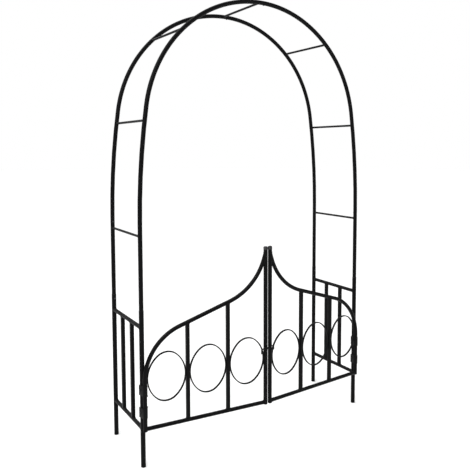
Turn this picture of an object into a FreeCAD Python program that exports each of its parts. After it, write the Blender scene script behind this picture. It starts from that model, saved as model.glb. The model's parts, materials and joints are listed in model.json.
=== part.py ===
import FreeCAD, Part
import math
import os
from FreeCAD import Vector

# A garden arch of steel tube: two round-topped hoops joined by rungs, a ladder
# panel low down on each side, and a pair of ogee-topped gate leaves in front.
# +X runs across the walkway, +Y along it from the gate side to the back, +Z up.
# The origin is on the ground, in the middle of the room that the whole object takes up.
# All sizes are millimetres.

# Whole arch
span = 1358.0              # across the walkway, leg centre to leg centre
depth = 378.0              # front hoop to back hoop, centre to centre
crown_z = 2290.0           # highest point of a hoop's centre line
leg_lean = 34.0            # how far each leg has leaned in where the round top starts

# Hoop tubes and how they plug together
post_radius = 12.0         # lowest tube of each leg
post_height = 770.0
tube_wall = 0.9
plug_clearance = 0.1       # between a tube and the one pushed into it
plug_length = 45.0         # how far one tube goes into the next
hoop_joint_z = 1180.0      # where an arch tube plugs into its leg tube
neck_length = 5.0          # inside the arch tube, where the plug is formed
crown_seam = 4.0           # degrees from the very top to the seam between arch tubes

# Rungs
rung_radius = 6.0
low_rung_z = 1124.0
high_rung_z = 1670.0
crown_rung_angle = 46.8    # above the horizontal, seen from the centre of the round top

# Side panels
panel_radius = 10.0        # rails
panel_bottom_z = 190.0
panel_top_z = 686.0
panel_bars = 2             # between the posts on each side

# Square bars of the side panels and the leaves
square_width = 18.0

# Gate leaves, measured from the hinge stile's axis
frame_radius = 10.5        # tube that is hinge stile, shoulder and ogee top in one piece
stile_radius = 11.0        # meeting stile
bar_radius = 10.0          # bottom rail
gate_wall = 1.0
leaf_ajar = 4.5            # degrees that the leaves stand open at rest
hinge_inset = 3.8          # hinge axis, inboard of the leg's axis
meeting_gap = 2.0          # between the two meeting stiles with the gate shut
leaf_rail_z = 195.0
leaf_bays = 3              # two bars and three ovals in each leaf
shoulder_z = 428.0         # where the hinge stile starts to bend over
shoulder_bend = 260.0
leaf_slope = 18.0          # degrees, straight middle of the ogee
peak_bend = 310.0
peak_angle = 72.0          # above the horizontal, where the frame tube meets the stile
stile_above_peak = 63.0    # meeting stile, above the place where the frame tube meets it
cap_radius = 11.8
cap_skirt = 14.0
cap_top = 4.0

# Ovals between the gate bars
ring_height = 248.0
ring_end_radius = 80.0
ring_band = 6.0
ring_depth = 10.0
ring_z = 438.0

# Hinges: a strap round the hinge stile, bolted across the post
hinge_clearance = 0.1
strap_thickness = 2.0
strap_height = 50.0
strap_tail = 9.0           # past the post's axis
lower_strap_z = 275.0
upper_strap_z = 385.0
peg_radius = 3.0
peg_length = 5.0
peg_gap = 0.3

# Fasteners
bolt_radius = 2.5
bolt_hole_clearance = 0.1
hex_width = 8.0            # across flats
head_height = 3.5
nut_height = 4.0
bolt_end = 1.5             # thread showing past the nut
screw_radius = 2.1
screw_head_radius = 4.4
screw_head_height = 2.4
screw_length = 7.0
socket_width = 2.5
socket_depth = 1.3

# Latch: an L-shaped bolt in a guide tube, and a staple on the other leaf
latch_z = 492.0
latch_radius = 4.0
latch_clearance = 0.1
guide_wall = 1.9
guide_standoff = 4.0       # from the meeting stile to the guide tube
guide_length = 20.0
saddle_width = 10.0
latch_travel = 20.0
latch_handle = 26.0
latch_gap = 0.3            # from handle to guide with the bolt shot
stop_radius = 1.5
stop_groove_depth = 1.6
stop_play = 0.3
staple_width = 8.0
staple_wall = 3.0
staple_opening = 14.0      # height inside
staple_depth = 19.0        # inside, from the stile to the front

# Worked out from the sizes above
half_span = span / 2
half_depth = depth / 2
hoop_radius = post_radius - tube_wall - plug_clearance
plug_radius = hoop_radius - tube_wall - plug_clearance
crown_radius = half_span - leg_lean
crown_centre_z = crown_z - crown_radius
rise = crown_centre_z - hoop_joint_z
side_radius = (half_span**2 + rise**2 - crown_radius**2) / (2 * leg_lean)
lean_angle = math.degrees(math.asin(rise / (side_radius - crown_radius)))
hinge_reach = post_radius + frame_radius + hinge_clearance
hinge_forward = math.sqrt(hinge_reach**2 - hinge_inset**2)
hinge_x = half_span - hinge_inset
leaf_width = hinge_x - meeting_gap / 2 - stile_radius
bay = leaf_width / leaf_bays
guide_radius = latch_radius + latch_clearance + guide_wall
latch_offset = stile_radius + guide_standoff + guide_radius
handle_s = -guide_length / 2 - latch_gap - latch_radius - latch_travel
bolt_tip_s = guide_length / 2
staple_reach = stile_radius + staple_depth
stile_low_end = leaf_rail_z - stile_radius

# The frame tube's slope runs from the end of the shoulder to the start of the peak bend
slope = math.radians(leaf_slope)
steep = math.radians(peak_angle)
peak_s = leaf_width - stile_radius
slope_start_s = shoulder_bend * (1 - math.sin(slope))
slope_start_z = shoulder_z + shoulder_bend * math.cos(slope)
slope_end_s = peak_s - peak_bend * (math.sin(steep) - math.sin(slope))
slope_end_z = slope_start_z + (slope_end_s - slope_start_s) * math.tan(slope)
peak_z = slope_end_z + peak_bend * (math.cos(slope) - math.cos(steep))
meeting_stile_top = peak_z + stile_above_peak

# The staple reaches furthest forward and the back posts furthest back
ajar = math.radians(leaf_ajar)
staple_forward = leaf_width * math.sin(ajar) + (staple_reach + staple_wall) * math.cos(ajar)
front_reach = half_depth + hinge_forward + staple_forward
back_reach = half_depth + post_radius
middle_y = (back_reach - front_reach) / 2
front_y = -half_depth - middle_y
back_y = half_depth - middle_y
hinge_y = front_y - hinge_forward

X = Vector(1, 0, 0)
Y = Vector(0, 1, 0)
Z = Vector(0, 0, 1)
ORIGIN = Vector(0, 0, 0)
SIDES = {"left": -1, "right": 1}
HOOPS = {"front": front_y, "back": back_y}

nodes = {}


def rod(start, end, radius):
    """Solid round bar from start to end."""
    along = end - start
    return Part.makeCylinder(radius, along.Length, start, along)


def tube(start, end, radius, wall):
    """Straight tube, open at both ends."""
    return rod(start, end, radius).cut(rod(start, end, radius - wall))


def square_tube(foot, height, width, wall):
    """Upright square tube on foot, its sides along X and Y, open at both ends."""
    hole = width - 2 * wall
    outer = Part.makeBox(width, width, height, foot - Vector(width, width, 0) / 2)
    return outer.cut(Part.makeBox(hole, hole, height, foot - Vector(hole, hole, 0) / 2))


def sweep(edges, radius):
    """Solid round bar bent along a chain of edges."""
    first = edges[0]
    circle = Part.makeCircle(radius, first.valueAt(first.FirstParameter),
                             first.tangentAt(first.FirstParameter))
    return Part.Wire(edges).makePipe(Part.Face(Part.Wire(circle)))


def bent_tube(edges, radius, wall):
    """Bent tube, open at both ends."""
    return sweep(edges, radius).cut(sweep(edges, radius - wall))


def arc(point, start_angle, end_angle):
    """Arc edge through point(angle), from one angle to the other."""
    middle = (start_angle + end_angle) / 2
    return Part.Arc(point(start_angle), point(middle), point(end_angle)).toShape()


def hexagon(centre, axis, flats, height):
    """Six-sided prism standing on centre, along axis."""
    corner = flats / math.sqrt(3)
    points = [Vector(corner * math.cos(math.radians(60 * i)),
                     corner * math.sin(math.radians(60 * i)), 0) for i in range(7)]
    prism = Part.Face(Part.makePolygon(points)).extrude(Vector(0, 0, height))
    prism.Placement = FreeCAD.Placement(centre, FreeCAD.Rotation(Z, axis))
    return prism


# Hoops ---------------------------------------------------------------------

def side_point(side, y):
    """Point on the gently leaning upper leg, by angle above the horizontal."""
    def point(angle):
        a = math.radians(angle)
        across = half_span - side_radius + side_radius * math.cos(a)
        return Vector(side * across, y, hoop_joint_z + side_radius * math.sin(a))
    return point


def crown_point(side, y):
    """Point on the round top, by angle above the horizontal on that side."""
    def point(angle):
        a = math.radians(angle)
        return Vector(side * crown_radius * math.cos(a), y,
                      crown_centre_z + crown_radius * math.sin(a))
    return point


def arch_edges(side, y, end_angle):
    """Centre line of an arch tube, from its leg joint up to end_angle on the round top."""
    return [arc(side_point(side, y), 0, lean_angle),
            arc(crown_point(side, y), lean_angle, end_angle)]


def hoop_core(y):
    """A whole hoop as a solid bar: the shape that rung ends are cut to."""
    cores = []
    for side in SIDES.values():
        foot = Vector(side * half_span, y, 0)
        cores.append(rod(foot, foot + Z * hoop_joint_z, hoop_radius))
        cores.append(sweep(arch_edges(side, y, 90), hoop_radius))
    return cores


def joint_screw(seat, outward):
    """Button-head screw: seat is under the head, outward points away from the tube."""
    rim = screw_head_height / 3
    head = Part.makeCylinder(screw_head_radius, rim, seat, outward)
    dome = Part.makeCone(screw_head_radius, screw_head_radius * 0.6, screw_head_height - rim,
                         seat + outward * rim, outward)
    socket = hexagon(seat + outward * (screw_head_height - socket_depth), outward,
                     socket_width, socket_depth)
    shank = rod(seat + outward * (rim / 2), seat - outward * screw_length, screw_radius)
    return head.fuse([dome, shank]).removeSplitter().cut(socket)


def screw_hole(seat, outward):
    """Hole for a joint screw, through the near walls of both tubes."""
    radius = screw_radius + bolt_hole_clearance
    return rod(seat + outward * 2, seat - outward * screw_length, radius)


def make_hoops():
    screws = []
    for hoop, y in HOOPS.items():
        inward = Y if hoop == "front" else -Y
        for name, side in SIDES.items():
            foot = Vector(side * half_span, y, 0)
            joint = foot + Z * hoop_joint_z
            post_screw = foot + Z * (post_height - plug_length / 2) + inward * post_radius
            joint_seat = joint - Z * (plug_length / 2) + inward * hoop_radius
            screws += [joint_screw(post_screw, inward), joint_screw(joint_seat, inward)]

            post = tube(foot, foot + Z * post_height, post_radius, tube_wall)
            for z in (lower_strap_z, upper_strap_z):
                if hoop == "front":
                    post = post.cut(hinge_bolt_hole(side, z))
            nodes["post_%s_%s" % (hoop, name)] = post.cut(screw_hole(post_screw, inward))

            leg = tube(foot + Z * (post_height - plug_length), joint, hoop_radius, tube_wall)
            leg = leg.cut(screw_hole(post_screw, inward)).cut(screw_hole(joint_seat, inward))
            nodes["leg_tube_%s_%s" % (hoop, name)] = leg

            seam_angle = 90 - side * crown_seam
            edges = arch_edges(side, y, seam_angle)
            plug = tube(joint - Z * plug_length, joint + Z * neck_length, plug_radius, tube_wall)
            neck = tube(joint, joint + Z * neck_length, hoop_radius - tube_wall / 2,
                        plug_clearance + tube_wall * 1.5)
            arch = bent_tube(edges, hoop_radius, tube_wall).fuse([plug, neck])
            arch = arch.cut(screw_hole(joint_seat, inward))

            half_plug = math.degrees(plug_length / 2 / crown_radius)
            seam_screw_angle = 90 - crown_seam + half_plug
            middle = crown_point(1, y)(seam_screw_angle)
            down = Vector(0, y, crown_centre_z) - middle
            down.normalize()
            seat = middle + down * hoop_radius
            if side > 0:
                arch = arch.fuse(crown_plug(y))
                screws.append(joint_screw(seat, down))
            arch = arch.cut(screw_hole(seat, down))
            nodes["arch_tube_%s_%s" % (hoop, name)] = arch
    nodes["joint_screws"] = Part.makeCompound(screws)


def crown_plug(y):
    """Plug on the right-hand arch tube, which goes into the left-hand one at the seam."""
    point = crown_point(1, y)
    seam = 90 - crown_seam
    neck_angle = math.degrees(neck_length / crown_radius)
    plug_angle = math.degrees(plug_length / crown_radius)
    plug = bent_tube([arc(point, seam - neck_angle, seam + plug_angle)], plug_radius, tube_wall)
    neck = bent_tube([arc(point, seam - neck_angle, seam)], hoop_radius - tube_wall / 2,
                     plug_clearance + tube_wall * 1.5)
    return plug.fuse(neck)


def hoop_x(z):
    """How far a leg's axis is from the middle of the arch, at height z."""
    if z <= hoop_joint_z:
        return half_span
    if z <= crown_centre_z + crown_radius * math.sin(math.radians(lean_angle)):
        return half_span - side_radius + math.sqrt(side_radius**2 - (z - hoop_joint_z)**2)
    return math.sqrt(crown_radius**2 - (z - crown_centre_z)**2)


def make_rungs():
    cores = hoop_core(front_y) + hoop_core(back_y)
    angle = math.radians(crown_rung_angle)
    crown_x = crown_radius * math.cos(angle)
    crown_rung_z = crown_centre_z + crown_radius * math.sin(angle)
    places = {"rung_apex": (0, crown_z)}
    for name, side in SIDES.items():
        places["rung_low_" + name] = (side * half_span, low_rung_z)
        places["rung_high_" + name] = (side * hoop_x(high_rung_z), high_rung_z)
        places["rung_crown_" + name] = (side * crown_x, crown_rung_z)
    for name, (x, z) in places.items():
        bar = rod(Vector(x, front_y, z), Vector(x, back_y, z), rung_radius)
        nodes[name] = bar.cut(cores)


# Side panels ---------------------------------------------------------------

def make_panels():
    for name, side in SIDES.items():
        x = side * half_span
        posts = [rod(Vector(x, y, 0), Vector(x, y, post_height), post_radius)
                 for y in HOOPS.values()]
        rails = []
        for level, z in (("bottom", panel_bottom_z), ("top", panel_top_z)):
            ends = Vector(x, front_y, z), Vector(x, back_y, z)
            rails.append(rod(*ends, panel_radius))
            nodes["panel_rail_%s_%s" % (level, name)] = tube(*ends, panel_radius, tube_wall).cut(posts)
        for i, place in enumerate(("front", "back")):
            y = front_y + depth * (i + 1) / (panel_bars + 1)
            bar = square_tube(Vector(x, y, panel_bottom_z), panel_top_z - panel_bottom_z,
                              square_width, tube_wall)
            nodes["panel_bar_%s_%s" % (place, name)] = bar.cut(rails)


# Hinges --------------------------------------------------------------------

def hinge_placement(side, z):
    """Puts the hinge axis at the origin, with +X towards the post's axis, in its place."""
    towards_post = Vector(side * hinge_inset, hinge_forward, 0)
    turn = FreeCAD.Rotation(Z, math.degrees(math.atan2(towards_post.y, towards_post.x)))
    return FreeCAD.Placement(Vector(side * hinge_x, hinge_y, z), turn)


def placed(shape, placement):
    shape.Placement = placement.multiply(shape.Placement)
    return shape


def strap_face(loop, leg, tail):
    """U outline: radius loop round the stile, then tangents that turn into straight legs
    at leg either side of the post's axis."""
    nx = (loop - leg) / hinge_reach
    ny = math.sqrt(1 - nx * nx)
    corners = [Vector(loop * nx, loop * ny, 0),
               Vector(hinge_reach + leg * nx / (1 + ny), leg, 0),
               Vector(hinge_reach + tail, leg, 0)]
    mirrored = [Vector(p.x, -p.y, 0) for p in reversed(corners)]
    line = Part.makePolygon(corners + mirrored)
    bow = Part.Arc(mirrored[-1], Vector(-loop, 0, 0), corners[0]).toShape()
    return Part.Face(Part.Wire(line.Edges + [bow]))


def hinge_bolt_hole(side, z):
    reach = Y * (post_radius + strap_thickness + 1)
    axis = Vector(hinge_reach, 0, 0)
    hole = rod(axis - reach, axis + reach, bolt_radius + bolt_hole_clearance)
    return placed(hole, hinge_placement(side, z))


def hinge_strap(side, z):
    outer = strap_face(frame_radius + hinge_clearance + strap_thickness,
                       post_radius + strap_thickness, strap_tail)
    inner = strap_face(frame_radius + hinge_clearance, post_radius, strap_tail + 1)
    up = Z * strap_height
    strap = outer.extrude(up).cut(inner.extrude(up))
    strap.translate(Z * (-strap_height / 2))
    return placed(strap, hinge_placement(side, z)).cut(hinge_bolt_hole(side, z))


def make_hinges():
    bolts = []
    nuts = []
    seat = post_radius + strap_thickness
    for name, side in SIDES.items():
        for level, z in (("lower", lower_strap_z), ("upper", upper_strap_z)):
            nodes["hinge_strap_%s_%s" % (level, name)] = hinge_strap(side, z)
            inner_face = Vector(hinge_reach, side * seat, 0)
            outer_face = Vector(hinge_reach, -side * seat, 0)
            head = hexagon(outer_face, Y * -side, hex_width, head_height)
            end = inner_face + Y * (side * (nut_height + bolt_end))
            bolt = head.fuse(rod(outer_face, end, bolt_radius))
            nut = hexagon(inner_face, Y * side, hex_width, nut_height)
            nut = nut.cut(rod(outer_face, end, bolt_radius))
            bolts.append(placed(bolt, hinge_placement(side, z)))
            nuts.append(placed(nut, hinge_placement(side, z)))
    nodes["hinge_bolts"] = Part.makeCompound(bolts)
    nodes["hinge_nuts"] = Part.makeCompound(nuts)


# Gate leaves: made flat, the hinge axis at the origin and the leaf along +X (left
# leaf) or -X (right leaf), then turned ajar and moved to the hinge -----------

def leaf_place(side):
    turn = FreeCAD.Rotation(Z, side * leaf_ajar)
    return FreeCAD.Placement(Vector(side * hinge_x, hinge_y, 0), turn)


def frame_edges(inward):
    """Centre line of the frame tube: hinge stile, shoulder, slope and upswept peak."""
    def place(s, z):
        return Vector(inward * s, 0, z)

    def shoulder(angle):
        a = math.radians(angle)
        return place(shoulder_bend * (1 - math.cos(a)), shoulder_z + shoulder_bend * math.sin(a))

    def peak(angle):
        a = math.radians(angle)
        return place(peak_s - peak_bend * (math.sin(steep) - math.sin(a)),
                     peak_z - peak_bend * (math.cos(a) - math.cos(steep)))

    return [Part.LineSegment(place(0, stile_low_end), place(0, shoulder_z)).toShape(),
            arc(shoulder, 0, 90 - leaf_slope),
            Part.LineSegment(place(slope_start_s, slope_start_z),
                             place(slope_end_s, slope_end_z)).toShape(),
            arc(peak, leaf_slope, peak_angle),
            Part.LineSegment(place(peak_s, peak_z), place(leaf_width, peak_z + stile_radius
                                                          * math.tan(steep))).toShape()]


def oval_wire(half_width, half_height, end_radius, y):
    """Oval of four tangent arcs, upright, round the origin."""
    rise_to_end = half_height - end_radius
    flank = (half_width**2 + rise_to_end**2 - end_radius**2) / (2 * (half_width - end_radius))
    turn = math.degrees(math.atan2(rise_to_end, flank - half_width))

    def end_arc(up):
        def point(angle):
            a = math.radians(angle)
            return Vector(up * end_radius * math.cos(a), y,
                          up * (rise_to_end + end_radius * math.sin(a)))
        return arc(point, turn, 180 - turn)

    def flank_arc(way):
        def point(angle):
            a = math.radians(angle)
            return Vector(way * (half_width - flank + flank * math.cos(a)), y,
                          way * flank * math.sin(a))
        return arc(point, -turn, turn)

    return Part.Wire([flank_arc(1), end_arc(1), flank_arc(-1), end_arc(-1)])


def oval_ring(near_s, far_s, inward):
    """Flat band bent to an oval that touches the uprights at near_s and far_s."""
    half_width = (far_s - near_s) / 2
    half_height = ring_height / 2
    outer = oval_wire(half_width, half_height, ring_end_radius, -ring_depth / 2)
    inner = oval_wire(half_width - ring_band, half_height - ring_band,
                      ring_end_radius - ring_band, -ring_depth / 2)
    band = Part.Face([outer, inner]).extrude(Y * ring_depth)
    band.translate(Vector(inward * (near_s + far_s) / 2, 0, ring_z))
    return band


def leaf_pegs(inward):
    """Pegs on the hinge stile: one rests on the lower strap, one is under the upper strap."""
    drop = strap_height / 2 + peg_gap + peg_radius
    stile = rod(ORIGIN, Z * shoulder_z, frame_radius)
    pegs = []
    for z in (lower_strap_z + drop, upper_strap_z - drop):
        tip = Vector(inward * (frame_radius + peg_length), 0, z)
        pegs.append(rod(Vector(0, 0, z), tip, peg_radius).cut(stile))
    return Part.makeCompound(pegs)


def stile_cap(stile_x):
    """Push-on cap with a skirt and a low dome."""
    rim = Vector(stile_x, 0, meeting_stile_top - cap_skirt)
    top = Vector(stile_x, 0, meeting_stile_top)
    skirt = tube(rim, top, cap_radius, cap_radius - stile_radius)
    dome = Part.makeCone(cap_radius, cap_radius * 0.6, cap_top, top, Z)
    return skirt.fuse(dome)


def make_leaf(name, side):
    inward = -side
    prefix = name + "_leaf_"
    core = sweep(frame_edges(inward), frame_radius)
    stile_x = inward * leaf_width
    stile_ends = Vector(stile_x, 0, stile_low_end), Vector(stile_x, 0, meeting_stile_top)
    stile_core = rod(*stile_ends, stile_radius)
    rail_ends = Vector(0, 0, leaf_rail_z), Vector(stile_x, 0, leaf_rail_z)
    rail_core = rod(*rail_ends, bar_radius)
    pieces = {
        "frame_tube": bent_tube(frame_edges(inward), frame_radius, gate_wall).cut(stile_core),
        "meeting_stile": tube(*stile_ends, stile_radius, gate_wall),
        "bottom_rail": tube(*rail_ends, bar_radius, gate_wall).cut([core, stile_core]),
        "rest_pegs": leaf_pegs(inward),
        "cap": stile_cap(stile_x),
    }
    for i, place in enumerate(("outer", "inner")):
        s = bay * (i + 1)
        top_z = slope_start_z + (s - slope_start_s) * math.tan(slope)
        bar = square_tube(Vector(inward * s, 0, leaf_rail_z), top_z - leaf_rail_z,
                          square_width, gate_wall)
        pieces["bar_" + place] = bar.cut([core, rail_core])
    half_bar = square_width / 2
    bays = {"outer": (frame_radius, bay - half_bar),
            "middle": (bay + half_bar, 2 * bay - half_bar),
            "inner": (2 * bay + half_bar, leaf_width - stile_radius)}
    for place, edges in bays.items():
        ring = oval_ring(*edges, inward)
        pieces["ring_" + place] = ring.cut(core) if place == "outer" else ring
    for piece, shape in pieces.items():
        nodes[prefix + piece] = placed(shape, leaf_place(side))


# Latch, on the same flat leaves ----------------------------------------------

def latch_point(inward, s, offset=0.0, height=0.0):
    """Point on the latch bolt's line: s past the meeting stile's axis, towards the gap."""
    return Vector(inward * (leaf_width + s), -latch_offset - offset, latch_z + height)


def make_latch():
    left = -SIDES["left"]
    right = -SIDES["right"]
    stile = meeting_stile_core(left)
    guide_ends = (latch_point(left, -guide_length / 2), latch_point(left, guide_length / 2))
    bore = rod(*guide_ends, latch_radius + latch_clearance)
    saddle = Part.makeBox(saddle_width, latch_offset - stile_radius / 2, saddle_width)
    saddle.translate(latch_point(left, -saddle_width / 2, 0, -saddle_width / 2))

    groove_start = -latch_travel - stop_radius - stop_play
    screw_seat = latch_point(left, 0, guide_radius)
    screw_tip = latch_point(left, 0, latch_radius - stop_groove_depth + stop_play)
    stop_screw = rod(screw_seat - Y * stop_radius, screw_tip, stop_radius)
    guide = rod(*guide_ends, guide_radius).fuse(saddle)
    guide = guide.cut([bore, stile, rod(screw_seat - Y, screw_tip, stop_radius)])

    bolt = rod(latch_point(left, handle_s), latch_point(left, bolt_tip_s), latch_radius)
    handle = rod(latch_point(left, handle_s), latch_point(left, handle_s, 0, -latch_handle),
                 latch_radius)
    knuckle = Part.makeSphere(latch_radius, latch_point(left, handle_s))
    groove = Part.makeBox(latch_travel + 2 * (stop_radius + stop_play), stop_groove_depth,
                          2 * latch_radius)
    groove.translate(latch_point(left, groove_start, latch_radius, -latch_radius))
    bolt = bolt.fuse([handle, knuckle]).removeSplitter().cut(groove)

    for name, shape in (("latch_bolt", bolt), ("latch_guide", guide),
                        ("latch_stop_screw", stop_screw)):
        nodes[name] = placed(shape, leaf_place(SIDES["left"]))
    nodes["latch_staple"] = placed(latch_staple(right), leaf_place(SIDES["right"]))


def meeting_stile_core(inward):
    x = inward * leaf_width
    return rod(Vector(x, 0, stile_low_end), Vector(x, 0, meeting_stile_top), stile_radius)


def latch_staple(inward):
    """U-shaped staple on the front of the other meeting stile, which the bolt goes through."""
    x = inward * leaf_width
    outer = Part.makeBox(staple_width, staple_reach + staple_wall, staple_opening + 2 * staple_wall)
    outer.translate(Vector(x - staple_width / 2, -staple_reach - staple_wall,
                           latch_z - staple_opening / 2 - staple_wall))
    opening = Part.makeBox(staple_width, staple_reach, staple_opening)
    opening.translate(Vector(x - staple_width / 2, -staple_reach, latch_z - staple_opening / 2))
    behind = Part.makeBox(staple_width, stile_radius, 2 * staple_reach)
    behind.translate(Vector(x - staple_width / 2, -stile_radius / 2, latch_z - staple_reach))
    return outer.cut([opening, meeting_stile_core(inward), behind])


make_hoops()
make_rungs()
make_panels()
make_hinges()
for leaf_name, leaf_side in SIDES.items():
    make_leaf(leaf_name, leaf_side)
make_latch()

os.makedirs("parts", exist_ok=True)
for node, shape in nodes.items():
    shape.exportStep("parts/%s.step" % node)
print("%d nodes" % len(nodes))
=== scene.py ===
"""Garden arch of steel tube with a pair of gate leaves: shapes, finishes and stage."""

import json
import math

import bmesh
import bpy
import numpy as np
from mathutils import Matrix, Vector


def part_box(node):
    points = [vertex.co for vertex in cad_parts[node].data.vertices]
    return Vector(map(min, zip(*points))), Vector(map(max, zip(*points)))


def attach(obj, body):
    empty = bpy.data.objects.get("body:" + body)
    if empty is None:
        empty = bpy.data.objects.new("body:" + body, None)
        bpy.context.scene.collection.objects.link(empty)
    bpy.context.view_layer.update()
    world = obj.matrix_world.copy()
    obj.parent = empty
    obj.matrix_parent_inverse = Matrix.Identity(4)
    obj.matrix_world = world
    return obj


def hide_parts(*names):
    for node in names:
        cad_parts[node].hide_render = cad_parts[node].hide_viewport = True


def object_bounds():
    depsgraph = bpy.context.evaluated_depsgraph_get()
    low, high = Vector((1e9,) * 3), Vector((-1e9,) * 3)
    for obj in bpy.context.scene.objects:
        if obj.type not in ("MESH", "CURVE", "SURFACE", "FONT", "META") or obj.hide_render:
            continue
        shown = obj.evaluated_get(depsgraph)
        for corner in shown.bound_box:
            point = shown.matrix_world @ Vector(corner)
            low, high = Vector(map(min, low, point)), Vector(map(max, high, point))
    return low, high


bl_info = {
    "name": "Garden arch with gate",
    "version": (1, 0, 0),
    "blender": (4, 5, 0),
    "location": "3D View > Sidebar > Garden Arch",
    "description": "Makes the tubes, rings, hinges, latch and welds of a garden arch",
    "category": "Add Mesh",
}

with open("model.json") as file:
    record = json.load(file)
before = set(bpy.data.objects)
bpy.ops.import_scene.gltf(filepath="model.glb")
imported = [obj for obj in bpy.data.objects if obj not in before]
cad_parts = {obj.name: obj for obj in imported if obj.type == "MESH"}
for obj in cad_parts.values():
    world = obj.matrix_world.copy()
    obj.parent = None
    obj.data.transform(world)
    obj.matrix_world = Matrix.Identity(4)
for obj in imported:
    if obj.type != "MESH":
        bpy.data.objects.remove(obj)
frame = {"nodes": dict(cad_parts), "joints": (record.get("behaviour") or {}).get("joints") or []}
cad_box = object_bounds()

X = Vector((1, 0, 0))
Y = Vector((0, 1, 0))
Z = Vector((0, 0, 1))
MM = 0.001
SIDES = {"left": -1, "right": 1}
ENDS = ("front", "back")


# Where things are, read from the frame -----------------------------------------

def middle(node):
    """Centre of a node's box."""
    low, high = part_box(node)
    return (low + high) / 2


def room(node):
    """Size of a node's box."""
    low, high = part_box(node)
    return high - low


def hinge_point(name):
    """A point on a leaf's hinge axis, on the ground."""
    found = [j for j in frame["joints"] if j["name"] == name + "_leaf_hinge"][0]
    return Vector((found["pos_m"][0], found["pos_m"][1], 0))


class Leg:
    """One upright leg: its axis, and the heights where its tubes change."""

    def __init__(self, end, name):
        post = "post_%s_%s" % (end, name)
        tube = "leg_tube_%s_%s" % (end, name)
        centre = middle(post)
        self.side = SIDES[name]
        self.x, self.y = centre.x, centre.y
        self.post_radius = room(post).y / 2
        self.tube_radius = room(tube).y / 2
        self.post_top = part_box(post)[1].z
        self.tube_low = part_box(tube)[0].z
        self.tube_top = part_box(tube)[1].z
        self.inward = Y if end == "front" else -Y

    def at(self, z):
        return Vector((self.x, self.y, z))


class Leaf:
    """One gate leaf. s runs from the hinge axis to the gap, n out of its front face."""

    def __init__(self, name):
        self.name = name
        self.side = SIDES[name]
        self.hinge = hinge_point(name)
        stile = middle(name + "_leaf_meeting_stile")
        across = Vector((stile.x, stile.y, 0)) - self.hinge
        self.width = across.length
        self.along = across.normalized()
        self.front = Vector((self.along.y, -self.along.x, 0)) * -self.side
        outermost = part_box(name + "_leaf_frame_tube")[0 if name == "left" else 1].x
        self.tube_radius = abs(outermost - self.hinge.x)
        self.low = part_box(name + "_leaf_meeting_stile")[0].z
        self.stile_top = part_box(name + "_leaf_meeting_stile")[1].z
        self.rail_radius = room(name + "_leaf_bottom_rail").z / 2
        self.rail_z = middle(name + "_leaf_bottom_rail").z

    def at(self, s, n, z):
        return self.hinge + self.along * s + self.front * n + Z * z

    def extent(self, node):
        """Lowest and highest (s, n, z) of a node."""
        points = [v.co - self.hinge for v in frame["nodes"][node].data.vertices]
        own = np.array([(p.dot(self.along), p.dot(self.front), p.z) for p in points])
        return Vector(own.min(0)), Vector(own.max(0))


legs = {(end, name): Leg(end, name) for end in ENDS for name in SIDES}
leaves = {name: Leaf(name) for name in SIDES}
hoop_radius = legs["front", "left"].tube_radius
half_span = abs(legs["front", "left"].x)
hoop_start = legs["front", "left"].tube_top
crown_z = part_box("arch_tube_front_left")[1].z - hoop_radius
arch_middle = (legs["front", "left"].at(0) + legs["back", "right"].at(0)) / 2


# Sizes and colours that a user would change ----------------------------------------

def length(name, words, default, **more):
    """A length property, in metres."""
    return bpy.props.FloatProperty(name=name, description=words, default=default,
                                   min=0, precision=4, unit="LENGTH", **more)


def angle(name, words, degrees):
    return bpy.props.FloatProperty(name=name, description=words, subtype="ANGLE",
                                   default=math.radians(degrees), unit="ROTATION")


def share(name, words, default, high=1.0):
    return bpy.props.FloatProperty(name=name, description=words, default=default,
                                   min=0, max=high, subtype="FACTOR")


def amount(name, words, default):
    """A strength or a power that may go past one."""
    return bpy.props.FloatProperty(name=name, description=words, default=default, min=0)


def count(name, words, default):
    return bpy.props.IntProperty(name=name, description=words, default=default, min=3)


def colour(name, words, default):
    return bpy.props.FloatVectorProperty(name=name, description=words, default=default,
                                         size=3, min=0, max=1, subtype="COLOR")


class ArchTubes(bpy.types.PropertyGroup):
    """Sizes of the hoops, rungs and side panels."""
    lean: length("Lean", "How far each leg leans in where the round top starts", 34 * MM)
    wall: length("Tube wall", "Thickness of the tube", 0.9 * MM)
    sides: count("Sides", "Faces round a tube", 32)
    rung_sides: count("Rung sides", "Faces round a rung", 20)
    arc_step: angle("Arc step", "Largest turn between two rings of a bent tube", 2)


class ArchLeaves(bpy.types.PropertyGroup):
    """Sizes of the gate leaves."""
    wall: length("Tube wall", "Thickness of the gate tube", 1.0 * MM)
    shoulder_z: length("Shoulder height", "Where the hinge stile starts to bend", 0.428)
    shoulder_bend: length("Shoulder bend", "Radius of the shoulder", 0.260)
    slope: angle("Slope", "Rise of the straight part of the top", 18)
    peak_bend: length("Peak bend", "Radius of the upsweep at the meeting stile", 0.310)
    peak_angle: angle("Peak angle", "Steepness of the frame tube at the meeting stile", 72)
    ring_end: length("Ring end radius", "Radius of the oval's top and bottom", 80 * MM)
    band: length("Ring band", "Thickness of the flat bar in the ovals", 6 * MM)
    band_edge: length("Band edge", "Rounding of the flat bar's edges", 1.2 * MM)
    bar_edge: length("Bar edge", "Rounding of the square bars' edges", 1.6 * MM)
    cap_edge: length("Cap edge", "Rounding of the plastic caps", 0.8 * MM)


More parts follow.
